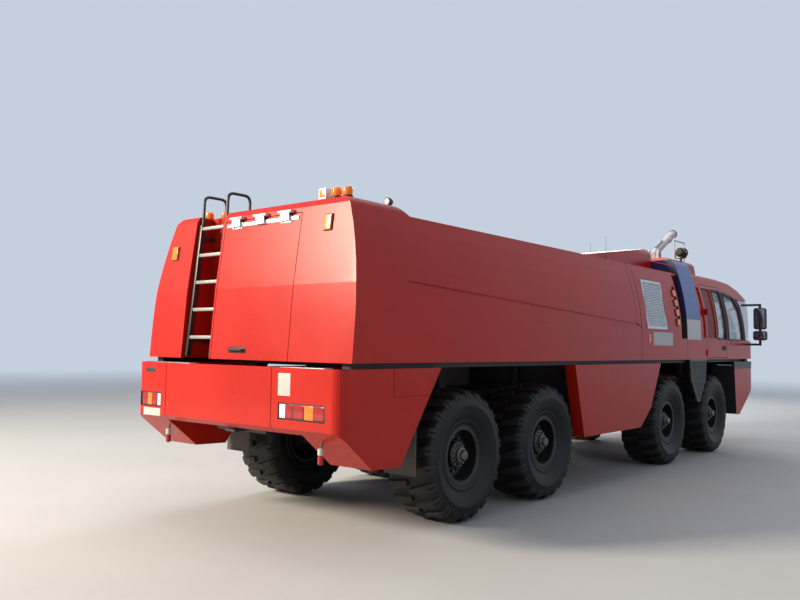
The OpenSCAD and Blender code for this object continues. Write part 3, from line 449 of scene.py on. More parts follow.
# Sections of a lug: height, bottom radius, top radius, turn, half width
LUG = [(0.006, 0.645, 0.680, 0.000, 0.030), (0.095, 0.645, 0.680, 0.030, 0.037),
    (0.185, 0.640, 0.678, 0.066, 0.044), (0.240, 0.628, 0.668, 0.082, 0.048),
    (0.272, 0.600, 0.646, 0.088, 0.048), (0.288, 0.560, 0.598, 0.090, 0.044),
    (0.289, 0.548, 0.560, 0.090, 0.040)]
# The whole lug over the crown, then two teeth over the shoulder: shift, share of the width, sections
TEETH = [(0, 1, LUG[:4]), (-0.56, 0.42, LUG[3:]), (0.56, 0.42, LUG[3:])]
FOOT_WIDER = 1.10


def tyre_parts():
    out = [(ring([(r, -h) for r, h in SIDE] + [(r, h) for r, h in SIDE[::-1]], 108), "tyre")]
    for side in (1, -1):
        for i in range(LUGS):
            start = 2 * pi * (i + (0.75 if side > 0 else 0.25)) / LUGS
            for shift, share, run in TEETH:
                sections = []
                for h, r0, r1, turn, half in run:
                    foot, top = half * share * FOOT_WIDER, half * share
                    section = []
                    for r, w in ((r0, -foot), (r0, foot), (r1, top), (r1, -top)):
                        a = start - side * turn + (w + shift * half) / r
                        section.append((r * cos(a), r * sin(a), side * h))
                    sections.append(section)
                out.append((bar(sections), "lug"))
    return out


def wheel_parts():
    # Lock ring, bead ring and valve
    out = [
        (ring([(0.297, 0.199), (0.310, 0.205), (0.312, 0.222), (0.300, 0.226), (0.288, 0.218)], 72), "rim"),
        (ring([(0.268, 0.205), (0.272, 0.2205), (0.262, 0.2205), (0.258, 0.205)], 72), "rim"),
        (rod((0.235, 0.02, 0.06), (0.250, 0.02, 0.12), 0.006, 8), "steel")]

    def bolts(n, circle_r, z, high, r, sides, mat, bevel=0.0):
        for u, v in circle(n, circle_r):
            out.append((rod((u, v, z), Vector((u, v, z)) + Vector((0, 0, high)), r, sides, bevel), mat))

    # Nuts on the disc, each on a washer and with its stud
    bolts(12, 0.178, 0.058, 0.008, 0.026, 16, "rim")
    bolts(12, 0.178, 0.058, 0.034, 0.0185, 6, "rim", 0.003)
    bolts(12, 0.178, 0.058, 0.050, 0.010, 10, "steel")
    # Dark ovals as painted shade for the hand holes between the nuts
    oval = lathe([(0, -0.004), (1, -0.004), (1, 0.0035), (0.8, 0.0045), (0, 0.0045)], 20)
    for i in range(12):
        turn = Matrix.Rotation(2 * pi * (i + 0.5) / 12, 4, "Z")
        place = Matrix.Translation((0.226, 0, 0.066)) @ Matrix.Diagonal((0.016, 0.024, 1, 1))
        out.append((moved(oval, turn @ place), "inside"))
    # Reduction hub with its cover bolts and worn cap
    out.append((ring([(0.126, 0.145), (0.134, 0.151), (0.134, 0.163), (0.118, 0.168), (0.110, 0.160)], 56),
        "rim"))
    bolts(14, 0.113, 0.163, 0.018, 0.0085, 6, "steel", 0.0015)
    out.append((lathe([(0, 0.206), (0.076, 0.198), (0.080, 0.203), (0.078, 0.212), (0.056, 0.219),
        (0.053, 0.246), (0.047, 0.256), (0.030, 0.259), (0, 0.260)], 48), "hub"))
    bolts(6, 0.066, 0.209, 0.012, 0.006, 6, "steel")
    return out


TYRE, WHEEL = tyre_parts(), wheel_parts()
for i, station in enumerate(AXLES):
    for side, s in (("right", -1), ("left", 1)):
        at = stand(station, s * WHEEL_Y, TYRE_R, radians(-90 * s), "X")
        body = f"wheel_{i + 1}_{side}"
        p = Piece(f"lugged_tyre_{i + 1}_{side}", "tyre_rubber", body)
        for part, mat in TYRE:
            p.add(part, mat, at)
        p.done(f"tyre_{i + 1}_{side}", sharp=32)
        p = Piece(f"wheel_trim_{i + 1}_{side}", "rim_paint", body)
        for part, mat in WHEEL:
            p.add(part, mat, at)
        p.done()


# Rear face: lamps, plates, hinge strip, handles
REAR_FACE = [(1.64, 0.14), (2.345, 0.196), (3.08, 0.30), (3.14, 0.34)]
LAMP_Z = (1.13, 1.28)


def lamp_unit(name, y0, y1, order, *replaced):
    z0, z1 = LAMP_Z
    p = Piece(name, "red_lens")
    p.add(block(0.006, 0.0295, y0, y1, z0, z1, 0.004))
    total = sum(w for _, w in order)
    y = y0 + 0.012
    span = (y1 - y0) - 0.024
    for mat, w in order:
        wide = span * w / total
        p.add(block(0.003, 0.02, y + 0.003, y + wide - 0.003, z0 + 0.014, z1 - 0.014, 0.006, 3), mat)
        for k in range(5):
            z = z0 + 0.026 + k * 0.0236
            p.add(rod(spot(0.0035, y + 0.008, z), spot(0.0035, y + wide - 0.008, z), 0.003, 6), mat)
        y += wide
    p.done(*replaced)


lamp_unit("tail_lamp_right", -1.33, -0.74, [("red_lens", 1.1), ("amber", 1.0), ("red_lens", 1.2),
    ("red_lens", 0.8), ("clear", 0.7)])
lamp_unit("tail_lamp_left", 1.05, 1.40, [("clear", 0.7), ("red_lens", 1.1), ("amber", 1.0),
    ("red_lens", 1.0)], "tail_lamps")

p = Piece("rear_fittings", "pale_panel")
# Blank plates on the lower panels
p.add(block(-0.0005, 0.004, -0.895, -0.735, 1.34, 1.54, 0.0012), "white")
p.add(block(-0.0005, 0.004, 1.06, 1.36, 1.035, 1.115, 0.0012), "white")
# Tread plates on the ledge
TREAD_TOP, TREAD_STEP = 1.5935, 0.03
for y0, y1 in ((0.60, 1.22), (-1.30, -0.74)):
    p.add(block(0.012, 0.135, y0, y1, 1.588, TREAD_TOP, 0.001), "tread")
    for a in range(int((y1 - y0) / TREAD_STEP)):
        for b in range(4):
            at = stand(0.028 + b * TREAD_STEP, y0 + 0.015 + a * TREAD_STEP, TREAD_TOP,
                0.78 if (a + b) % 2 else -0.78, "Z")
            p.add(box((-1, -1, -1), (1, 1, 1)), "tread", at @ Matrix.Diagonal((0.011, 0.0035, 0.0018, 1)))
# Grip on the left corner's panel
p.add(block(-0.0005, 0.003, 1.16, 1.34, 1.487, 1.532, 0.001))
p.done()

HINGE_Z, HANDLE_Z = 2.985, 1.735


def on_hinge(c, n):
    return c.z > HINGE_Z - 0.055 and -0.72 < c.y < 0.46 and c.x < sx(along(REAR_FACE, c.z) - 0.003)


for node in ("rear_hatch", "tank_body"):
    shade_faces(node, "alu", on_hinge)
p = Piece("hatch_fittings", "pale_panel", "rear_hatch")
x, z = along(REAR_FACE, HINGE_Z), HINGE_Z
p.add(block(x - 0.010, x + 0.004, -0.66, 0.40, z - 0.018, z + 0.018, 0.003), "alu")
for y in (-0.49, 0.23):
    p.add(block(x - 0.014, x + 0.002, y - 0.075, y + 0.075, z - 0.040, z + 0.028, 0.004), "alu")
    for dy in (-0.05, 0.05):
        p.add(rod(spot(x - 0.012, y + dy, z - 0.025), spot(x - 0.020, y + dy, z - 0.025), 0.008, 12, 0.001),
            "steel")
# Lift handle: a bar on a dark plate
x, z = along(REAR_FACE, HANDLE_Z), HANDLE_Z
p.add(block(x - 0.004, x + 0.006, -0.10, 0.16, z - 0.028, z + 0.028, 0.003))
p.add(tube(bent(spots((x, -0.075, z), (x - 0.034, -0.075, z), (x - 0.034, 0.135, z), (x, 0.135, z)), 0.02),
    0.009, 10))
p.done()

# Amber corner markers, which lean as the rear face does
p = Piece("corner_markers", "amber_lens")
for y, z in ((-1.06, 2.905), (1.225, 2.755)):
    at = stand(along(REAR_FACE, z), y, z, atan(0.12))
    p.add(box((-0.008, -0.055, -0.082), (0.010, 0.055, 0.082), 0.006), at=at)
    p.add(box((-0.024, -0.046, -0.072), (-0.004, 0.046, 0.072), 0.008, 3), "amber", at)
p.done()

# Ladder and the hoops above it
LADDER_Y = (0.48, 0.91)
RUNGS = [1.855 + 0.288 * i for i in range(5)]
STILE_W = 0.034
STILE_Z = (1.66, 3.05)


def stile_x(z):
    return 0.17 + 0.15 * (z - BODY_Z) / (ROOF_Z - BODY_Z)


p = Piece("ladder_rungs", "aluminium")
for lo, hi in ((LADDER_Y[0], LADDER_Y[0] + STILE_W), (LADDER_Y[1] - STILE_W, LADDER_Y[1])):
    x0, x1 = stile_x(STILE_Z[0]), stile_x(STILE_Z[1])
    p.add(prism([(x0, STILE_Z[0]), (x0 + 0.06, STILE_Z[0]), (x1 + 0.06, STILE_Z[1]), (x1, STILE_Z[1])],
        lo, hi, 0.006), "black")
    for z in (BODY_Z + 0.16, ROOF_Z - 0.16):
        p.add(block(stile_x(z) + 0.05, 0.4995, lo + 0.004, hi - 0.004, z, z + 0.04, 0.003), "black")
for z in RUNGS:
    x = stile_x(z) + 0.008
    p.add(block(x, x + 0.044, LADDER_Y[0] + 0.03, LADDER_Y[1] - 0.03, z - 0.016, z + 0.016, 0.005), "rung")
    for k in range(4):
        p.add(block(x + 0.006 + k * 0.009, x + 0.010 + k * 0.009, LADDER_Y[0] + 0.036, LADDER_Y[1] - 0.036,
            z + 0.015, z + 0.0185), "rung")
p.done("ladder")

p = Piece("roof_hoops", "black_paint")
HOOP_X = (stile_x(ROOF_Z) + 0.03, stile_x(ROOF_Z) + 0.03 + 0.30)
HOOP_TOP = 3.364
for y in (0.497, 0.893):
    x0, x1 = HOOP_X
    p.add(tube(bent(spots((x0, y, 3.052), (x0 + 0.01, y, HOOP_TOP), (x1, y, HOOP_TOP), (x1, y, 3.142)),
        0.075, 8), 0.016, 14), "black")
    p.add(rod(spot(x1, y, 3.1405), spot(x1, y, 3.150), 0.034, 20, 0.002), "black")
p.done("grab_rails")

# Beacons: domes with ribs on dark bases, and one square lamp
p = Piece("beacon_domes", "amber_lens")
at = stand(0.40, -0.89, BODY_TOP + 0.0005)
p.add(box((-0.05, -0.05, 0), (0.05, 0.05, 0.108), 0.01, 3), "alu", at)
p.add(box((-0.054, -0.038, 0.018), (0.0, 0.038, 0.095), 0.008, 3), "amber", at)
for x, y in ((0.40, -1.03), (0.42, -1.15), (0.60, 1.12), (0.69, 0.96)):
    at = stand(x, y, BODY_TOP + 0.0005)
    p.add(lathe([(0, 0), (0.052, 0), (0.052, 0.018), (0.047, 0.024), (0, 0.024)], 36), at=at)
    p.add(lathe([(0, 0.022), (0.046, 0.024), (0.049, 0.040), (0.049, 0.078), (0.044, 0.098), (0.030, 0.107),
        (0, 0.110)], 36), "amber", at)
    for k in range(5):
        h = k * 0.010
        p.add(ring([(0.0485, 0.036 + h), (0.0515, 0.039 + h), (0.0485, 0.042 + h)], 36), "amber", at)
p.done("amber_beacons")

p = Piece("roof_fittings", "pale_panel")
# Bracket with a work lamp on the roof's step
p.add(block(0.985, 1.06, -1.10, -0.78, 3.0505, 3.125, 0.006), "white")
p.add(block(0.97, 1.075, -1.16, -0.78, 3.12, 3.128, 0.002), "white")
p.add(rod(spot(1.02, -1.13, 3.125), spot(1.02, -1.13, 3.165), 0.008, 10), "black")
at = stand(1.02, -1.13, 3.195, radians(-90))
p.add(lathe([(0, -0.03), (0.034, -0.03), (0.042, 0.0), (0.042, 0.025), (0.036, 0.03), (0, 0.03)], 28),
    "black", at)
p.add(lathe([(0, 0.026), (0.035, 0.027), (0, 0.036)], 28), "clear", at)
# Whip aerials on the hood and on the cab's platform
for x, y, z, h in ((6.32, -0.93, ROOF_Z + 0.08, 0.36), (9.2, 0.72, PLATFORM + 0.0005, 0.42)):
    p.add(lathe([(0, 0), (0.022, 0), (0.022, 0.012), (0.010, 0.030), (0, 0.030)], 20), "black",
        stand(x, y, z))
    p.add(rod(spot(x, y, z + 0.02), spot(x, y, z + h), 0.0035, 8, r1=0.002), "black")
p.done()


# Flanks: lamp columns, grilles, triangular panels, plates
def on_flank(s, x, z, out=0.0):
    return spot(x, s * (flank(z, BODY_TOP) + out), z)


p = Piece("flank_fittings", "black_paint")
LAMP_X, LAMP_STEP = 7.74, 0.155
for s in (-1, 1):
    for i in range(4):
        z = 2.23 + LAMP_STEP * i
        lean = atan2(flank(z - 0.06, BODY_TOP) - flank(z + 0.06, BODY_TOP), 0.12)
        at = Matrix.Translation(on_flank(s, LAMP_X, z)) @ Matrix.Rotation(s * lean, 4, "X")
        p.add(box((-0.060, -0.012, -0.060), (0.060, 0.016, 0.060), 0.008, 3), at=at)
        p.add(box((-0.048, 0, -0.048), (0.048, s * 0.024, 0.048), 0.008, 3), "amber", at)
p.done("flank_lamps")

GX0, GX1, GZ0, GZ1 = 6.50, 7.25, 2.11, 2.83
RIM = 0.036
ROWS, COLUMNS = 26, 27
VEE_X = (AXLES[0] + AXLES[1]) / 2
VEE_OUTER, VEE_INNER = [[(VEE_X + dx, z) for dx, z in points] for points in (
    ((-0.39, 1.6395), (-0.33, 1.31), (-0.04, 0.94), (0.05, 0.94), (0.35, 1.31), (0.39, 1.6395)),
    ((-0.355, 1.607), (-0.302, 1.325), (-0.027, 0.972), (0.037, 0.972), (0.322, 1.325), (0.355, 1.607)))]
VEE_STEP, WIRE = 0.027, 0.0045


def reach(z):
    """How far the triangular panel's opening reaches ahead of its middle at height z."""
    low, high = VEE_INNER[3:5] if z <= 1.325 else VEE_INNER[4:6]
    t = (z - low[1]) / (high[1] - low[1])
    return low[0] - VEE_X + (high[0] - low[0]) * t


p = Piece("perforated_grilles", "aluminium")
for s in (-1, 1):
    # Frame on the leaning flank
    x0, x1, z0, z1 = GX0 - 0.005, GX1 + 0.005, GZ0 - 0.005, GZ1 + 0.005
    for a, b, c, d in ((x0, x1, z0, z0 + RIM), (x0, x1, z1 - RIM, z1), (x0, x0 + RIM, z0 + RIM, z1 - RIM),
            (x1 - RIM, x1, z0 + RIM, z1 - RIM)):
        p.add(bar([[on_flank(s, x, z, out) for x, z in ((a, c), (b, c), (b, d), (a, d))]
            for out in (-0.004, 0.012)]), "alu")
    # Dark back plate as painted shade behind the grille, and a lattice of slats and uprights in front of it
    quad = [on_flank(s, x, z, -0.028) for x, z in ((GX0 + 0.02, GZ0 + 0.02), (GX1 - 0.02, GZ0 + 0.02),
        (GX1 - 0.02, GZ1 - 0.02), (GX0 + 0.02, GZ1 - 0.02))]
    p.add((quad, [[0, 1, 2, 3]]), "inside")
    for r in range(ROWS + 1):
        z = GZ0 + 0.034 + (GZ1 - GZ0 - 0.068) * r / ROWS
        corners = ((z - WIRE, -0.012), (z - WIRE, 0.001), (z + WIRE, 0.001), (z + WIRE, -0.012))
        p.add(bar([[on_flank(s, x, zz, out) for zz, out in corners] for x in (GX0 + 0.03, GX1 - 0.03)]),
            "alu")
    for c in range(COLUMNS + 1):
        x = GX0 + 0.034 + (GX1 - GX0 - 0.068) * c / COLUMNS
        corners = ((x - 0.005, -0.011), (x + 0.005, -0.011), (x + 0.005, 0.002), (x - 0.005, 0.002))
        p.add(bar([[on_flank(s, xx, z, out) for xx, out in corners]
            for z in (GZ0 + 0.03, (GZ0 + GZ1) / 2, GZ1 - 0.03)]), "alu")
    # Triangular panel between the steered wheels: rim, a dark back as painted shade, and a lattice
    for k in range(-1, 5):
        rim = [VEE_OUTER[k], VEE_OUTER[k + 1], VEE_INNER[k + 1], VEE_INNER[k]]
        p.add(prism(rim, s * 1.4765, s * (HALF_W + 0.002)), "mesh")
    p.add((spots(*[(x, s * 1.477, z) for x, z in VEE_OUTER]), [list(range(6))]), "inside")
    z = 0.985
    while z < 1.60:
        w = reach(z) + 0.004
        p.add(block(VEE_X - w + 0.012, VEE_X + w, s * 1.484, s * 1.4965, z - WIRE, z + WIRE), "mesh")
        z += VEE_STEP
    for k in range(-12, 13):
        x = k * VEE_STEP
        z = 0.975
        while z < 1.58 and reach(z) < abs(x) + 0.004:
            z += 0.01
        p.add(block(VEE_X + x - WIRE, VEE_X + x + WIRE, s * 1.484, s * 1.4975, z - 0.008, 1.61), "mesh")
p.done("grilles")


def flank_strip(s, x0, x1, z0, z1, out, n):
    """Thin strip on the flank from z0 to z1, following its curve in n steps."""
    heights = [z0 + (z1 - z0) * i / n for i in range(n + 1)]
    return bar([[on_flank(s, x0, z, -0.0015), on_flank(s, x1, z, -0.0015), on_flank(s, x1, z, out),
        on_flank(s, x0, z, out)] for z in heights])


p = Piece("flank_trim", "pale_panel")
for s in (-1, 1):
    # Blank plate, an amber marker beside it, and the seal between tank and pump housing
    p.add(flank_strip(s, 6.72, 7.50, 1.86, 2.06, 0.0035, 4), "white")
    p.add(flank_strip(s, 6.56, 6.62, 1.90, 2.02, 0.006, 3), "amber")
    p.add(flank_strip(s, 6.287, 6.300, 1.645, 2.96, 0.0008, 24))
    # Rain gutter over the pump housing
    p.add(block(6.31, 8.12, s * 1.33 - 0.055, s * 1.33 - 0.049, 3.1405, 3.152), "red")
p.done()

# Cab: window gaskets, wipers, lamps, handles, mirrors
NOSE_R = 0.52
SCREEN_X = NOSE - 0.09
PILLAR_X = NOSE - 0.93
SILL_Z = 1.995
WINDOW_X, WINDOW_TOP = 10.29, 2.78
FRONT = [(1.97, SCREEN_X), (2.64, NOSE - 0.20), (2.81, NOSE - 0.40), (2.97, NOSE - 0.76),
    (3.07, NOSE - 1.24)]


def nose_x(y):
    """Station of the upper nose's plan at distance y from the centre line."""
    over = max(0.0, abs(y) - (HALF_W - NOSE_R))
    return SCREEN_X - NOSE_R + sqrt(max(0.0, NOSE_R ** 2 - over ** 2))


def nose_y(x):
    ahead = max(0.0, x - (SCREEN_X - NOSE_R))
    return HALF_W - NOSE_R + sqrt(max(0.0, NOSE_R ** 2 - ahead ** 2))


def screen_x(y, z):
    return min(along(FRONT, z), nose_x(y))


def cab_side(s, x, z, out=0.0):
    return spot(x, s * (min(flank(z, CAB_TOP), nose_y(x)) + out), z)


def part_way(p, q, t):
    return p[0] + (q[0] - p[0]) * t, p[1] + (q[1] - p[1]) * t


def cover(s, edge_a, edge_b, out=0.004, n=8):
    """Thin cover on the cab's side between two edges, each a pair of (station, height) points."""
    sections = []
    for i in range(n + 1):
        a, b = part_way(*edge_a, i / n), part_way(*edge_b, i / n)
        sections.append([cab_side(s, *p, o) for p, o in ((a, -0.002), (a, out), (b, out), (b, -0.002))])
    return bar(sections)


def side_run(s, points, n=6):
    """Line on the cab's side through points, n steps from each to the next."""
    pts = []
    for p, q in zip(points, points[1:]):
        pts += [cab_side(s, *part_way(p, q, i / n)) for i in range(n)]
    return pts + [cab_side(s, *points[-1])]


p = Piece("cab_trim", "black_plastic")
# Windscreen gasket along the sill and over the top, from pillar to pillar
for x, z, y_end, n in ((PILLAR_X + 0.09, SILL_Z, HALF_W - 0.30, 30),
        (PILLAR_X - 0.13, WINDOW_TOP, 1.02, 24)):
    across = [-y_end + 2 * y_end * i / n for i in range(n + 1)]
    run = [cab_side(-1, x, z)] + [spot(screen_x(y, z), y, z) for y in across] + [cab_side(1, x, z)]
    p.add(tube(run, 0.013, 8))
for s in (-1, 1):
    x = PILLAR_X
    # Gaskets up the pillar and round the side window
    pillar = [(x + 0.09, SILL_Z), (x + 0.01, 2.64), (x - 0.13, WINDOW_TOP)]
    p.add(tube(side_run(s, pillar), 0.012, 8))
    window = [(WINDOW_X, SILL_Z), (x - 0.02, SILL_Z), (x - 0.11, 2.56), (x - 0.30, WINDOW_TOP),
        (WINDOW_X, 2.84), (WINDOW_X, SILL_Z)]
    p.add(tube(side_run(s, window), 0.011, 8))
    # Black covers on the pillars and over the window
    for a, b in ((((x - 0.022, SILL_Z), (x - 0.112, 2.56)), ((x + 0.088, SILL_Z), (x + 0.008, 2.64))),
            (((10.225, SILL_Z), (10.225, 2.85)), ((10.288, SILL_Z), (10.288, 2.85))),
            (((10.28, 2.845), (x - 0.30, 2.785)), ((10.28, 2.885), (x - 0.29, 2.825))),
            (((x - 0.30, 2.785), (x - 0.11, 2.56)), ((x - 0.25, 2.815), (x - 0.02, 2.63)))):
        p.add(cover(s, a, b))
# Three wipers parked on the sill
for y0, y1 in ((-0.98, -0.28), (-0.22, 0.48), (0.42, 1.04)):
    foot = spot(along(FRONT, 2.02) + 0.012, y0, 2.015)
    tip = spot(screen_x(y1, 2.30) + 0.022, y1 - 0.10, 2.16)
    p.add(rod(foot - Vector((0.02, 0, 0)), foot + Vector((0.022, 0, 0)), 0.018, 14, 0.003))
    p.add(tube([foot + Vector((0.012, 0, 0)), (foot + tip) / 2 + Vector((0.018, 0, 0.01)), tip], 0.007, 8))
    blade = [spot(screen_x(y, z) + 0.010, y, z) for y, z in ((y1 - 0.56, 2.055), (y1 - 0.33, 2.10),
        (y1 - 0.10, 2.150), (y1 + 0.02, 2.175))]
    p.add(tube(blade, 0.006, 6))
p.done()

# Headlamps with their turn lamps, and the grey strip round the front skirt
p = Piece("front_lamps", "lamp_glass")
LENS_R = 0.072
for s in (-1, 1):
    yc = s * 0.90
    p.add(block(NOSE - 0.058, NOSE - 0.030, yc - 0.187, yc + 0.187, 1.313, 1.497, 0.006))
    for dy in (-0.098, 0.062):
        r, at = LENS_R, stand(NOSE - 0.034, yc + s * dy, 1.405, pi / 2)
        p.add(ring([(r, 0.0), (r + 0.006, 0.012), (r + 0.002, 0.022), (r - 0.006, 0.018)], 40), "alu", at)
        p.add(lathe([(0, -0.004), (r * 0.4, 0.0), (r * 0.8, 0.008), (r - 0.006, 0.015), (r - 0.006, 0.002),
            (0, 0.002)], 40), "mirror", at)
        p.add(lathe([(0, 0.023), (r * 0.6, 0.021), (r - 0.004, 0.016)], 40), "clear", at)
    y = yc + s * 0.165
    p.add(block(NOSE - 0.045, NOSE - 0.022, y - 0.02, y + 0.02, 1.33, 1.48, 0.006), "amber")
for s in (-1, 1):
    plan = [(NOSE - 1.50 + 0.98 * i / 5, HALF_W) for i in range(6)]
    plan += [(NOSE - NOSE_R + NOSE_R * sin(radians(a)), HALF_W - NOSE_R + NOSE_R * cos(radians(a)))
        for a in range(9, 64, 9)]
    sections = []
    for x, y in plan:
        ahead = 0.5 if x > NOSE - NOSE_R else 0
        sections.append([spot(x + out * ahead, s * (y + out), z) for z, out in
            ((1.455, -0.004), (1.590, -0.004), (1.590, 0.0035), (1.455, 0.0035))])
    p.add(bar(sections), "strip")
p.done("headlamps")

DOOR_X, DOOR_Z = (9.68, 10.13), (2.0, 2.86)
PULL_X, PULL_Z = 10.02, 1.84
for side_name, s in (("right", -1), ("left", 1)):
    p = Piece(f"door_trim_{side_name}", "black_plastic", f"door_{side_name}")
    (x0, x1), (z0, z1) = DOOR_X, DOOR_Z
    p.add(tube(side_run(s, [(x0, z0), (x1, z0), (x1, z1), (x0, z1), (x0, z0)]), 0.011, 8))
    p.add(cover(s, ((10.132, 1.995), (10.132, 2.865)), ((10.196, 1.995), (10.196, 2.865))))
    p.add(cover(s, ((9.67, 2.862), (10.19, 2.862)), ((9.67, 2.895), (10.19, 2.895))))
    # Recessed pull with its lever, and the lock ahead of it
    x, y, z = PULL_X, s * HALF_W, PULL_Z
    p.add(block(x - 0.10, x + 0.10, y - 0.004, y + 0.004, z - 0.045, z + 0.045, 0.003))
    p.add(tube(bent(spots((x - 0.075, y, z), (x - 0.07, y + s * 0.03, z), (x + 0.06, y + s * 0.03, z),
        (x + 0.065, y, z)), 0.02), 0.009, 10))
    p.add(rod(spot(x + 0.125, y - s * 0.002, z), spot(x + 0.125, y + s * 0.006, z), 0.013, 18, 0.002),
        "steel")
    p.done()

p = Piece("mirror_faces", "black_plastic")
for s in (-1, 1):
    for z0, high, wide in ((2.21, 0.41, 0.22), (2.0, 0.18, 0.24)):
        yc = s * (HALF_W + 0.26)
        x = NOSE - 0.80 - 0.0006
        p.add(block(x - 0.004, x + 0.0005, yc - wide / 2 + 0.016, yc + wide / 2 - 0.016,
            z0 + 0.018, z0 + high - 0.018, 0.002), "mirror")
        y0, y1, za, zb = yc - wide / 2 + 0.012, yc + wide / 2 - 0.012, z0 + 0.012, z0 + high - 0.012
        rim = [(y0, z0 + high / 2), (y0, za), (y1, za), (y1, zb), (y0, zb), (y0, z0 + high / 2)]
        p.add(tube(bent(spots(*[(x - 0.002, y, z) for y, z in rim]), 0.03, 5), 0.005, 8), "plastic")
p.done()

# Monitor and searchlight fittings
p = Piece("monitor_base_bolts", "cast_metal", "monitor_turret")
for u, v in circle(10, 0.145):
    c = Vector((sx(MONITOR_X) + u, MONITOR_Y + v, PLATFORM + 0.0143))
    p.add(rod(c, c + Vector((0, 0, 0.012)), 0.010, 6, 0.0015), "steel")
for s in (-1, 1):
    c = spot(MONITOR_X, MONITOR_Y + s * 0.1105, MONITOR_Z)
    p.add(rod(c, c + Vector((0, s * 0.012, 0)), 0.046, 28, 0.003), "grey")
    for u, v in circle(6, 0.036):
        q = c + Vector((u, s * 0.012, v))
        p.add(rod(q, q + Vector((0, s * 0.007, 0)), 0.006, 6), "steel")
p.done()

p = Piece("monitor_fittings", "cast_metal", "monitor_barrel")
TILT = radians(27)
MOUTH = 1.066
at = stand(MONITOR_X, MONITOR_Y, MONITOR_Z, pi / 2 - TILT)
for h, r, mat in ((0.20, 0.061, "steel"), (0.42, 0.061, "steel"), (1.04, 0.071, "trim")):
    p.add(ring([(r - 0.008, h - 0.014), (r, h - 0.012), (r, h + 0.012), (r - 0.008, h + 0.014)], 48), mat,
        at)
p.add(ring([(0.052, 1.052), (0.0575, 1.070), (0.0605, 1.0875), (0.0550, 1.0875), (0.0500, 1.056)], 48),
    "trim", at)
# Dark flange at the mouth, and the stream straightener seen in it
pivot, aim = spot(MONITOR_X, MONITOR_Y, MONITOR_Z), Vector((cos(TILT), 0, sin(TILT)))
shade_faces("monitor_barrel", "trim", lambda c, n: (c - pivot).dot(aim) > MOUTH)
for a in (0, pi / 3, 2 * pi / 3):
    p.add(box((-0.044, -0.0015, 1.045), (0.044, 0.0015, 1.085)), "inside", at @ Matrix.Rotation(a, 4, "Z"))
# Actuator rod under the barrel
p.add(rod((-0.085, 0, 0.12), (-0.085, 0, 0.50), 0.014, 14, 0.002), "steel", at)
for h in (0.14, 0.48):
    p.add(box((-0.096, -0.012, h - 0.014), (-0.048, 0.012, h + 0.014), 0.003), "grey", at)
p.done()

p = Piece("searchlight_face", "black_paint")
at = stand(LIGHT_X, LIGHT_Y, PLATFORM + 0.1903, pi / 2)
p.add(lathe([(0, 0.107), (0.05, 0.106), (0.084, 0.101), (0.088, 0.1035), (0.05, 0.113), (0, 0.115)], 48),
    "clear", at)
p.add(ring([(0.086, 0.099), (0.097, 0.099), (0.098, 0.106), (0.088, 0.108)], 48), at=at)
for h in (-0.03, -0.01, 0.01, 0.03):
    p.add(ring([(0.0835, h - 0.003), (0.092, h - 0.003), (0.092, h + 0.003), (0.0835, h + 0.003)], 48),
        "black", at)
for s in (-1, 1):
    x, y, z = LIGHT_X, LIGHT_Y, PLATFORM
    p.add(tube(bent(spots((x, y + s * 0.012, z + 0.075), (x, y + s * 0.100, z + 0.085),
        (x, y + s * 0.100, z + 0.19)), 0.03), 0.008, 8), "black")
    p.add(rod(spot(x, y + s * 0.080, z + 0.19), spot(x, y + s * 0.112, z + 0.19), 0.014, 16, 0.002),
        "steel")
p.done()

# Cab inside: seats, steering wheel and instruments
SEAT_X, SEAT_Z = NOSE - 1.77, BODY_Z + 0.05
SEAT_YS = (-0.75, 0.0, 0.75)
# Sewn channels across and along a pad, as shares of its half size, then their depth and half width
SEAMS_WIDE, SEAMS_ALONG = ((-0.42, 0.42), 0.011, 0.045), ((-0.35, 0.1, 0.55), 0.007, 0.04)


def blown_up(o):
    """Where cloth under pressure takes the mesh's points."""
    cloth = o.modifiers.new("cloth", "CLOTH")
    cloth.settings.use_pressure = True
    cloth.settings.uniform_pressure_force = 4
    cloth.settings.effector_weights.gravity = 0
    for f in range(1, 15):
        scene.frame_set(f)
    held = o.evaluated_get(bpy.context.evaluated_depsgraph_get())
    new = [v.co.copy() for v in held.to_mesh().vertices]
    held.to_mesh_clear()
    o.modifiers.remove(cloth)
    scene.frame_set(1)
    return new


def seat_pad(o):
    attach(o, "chassis")
    return o


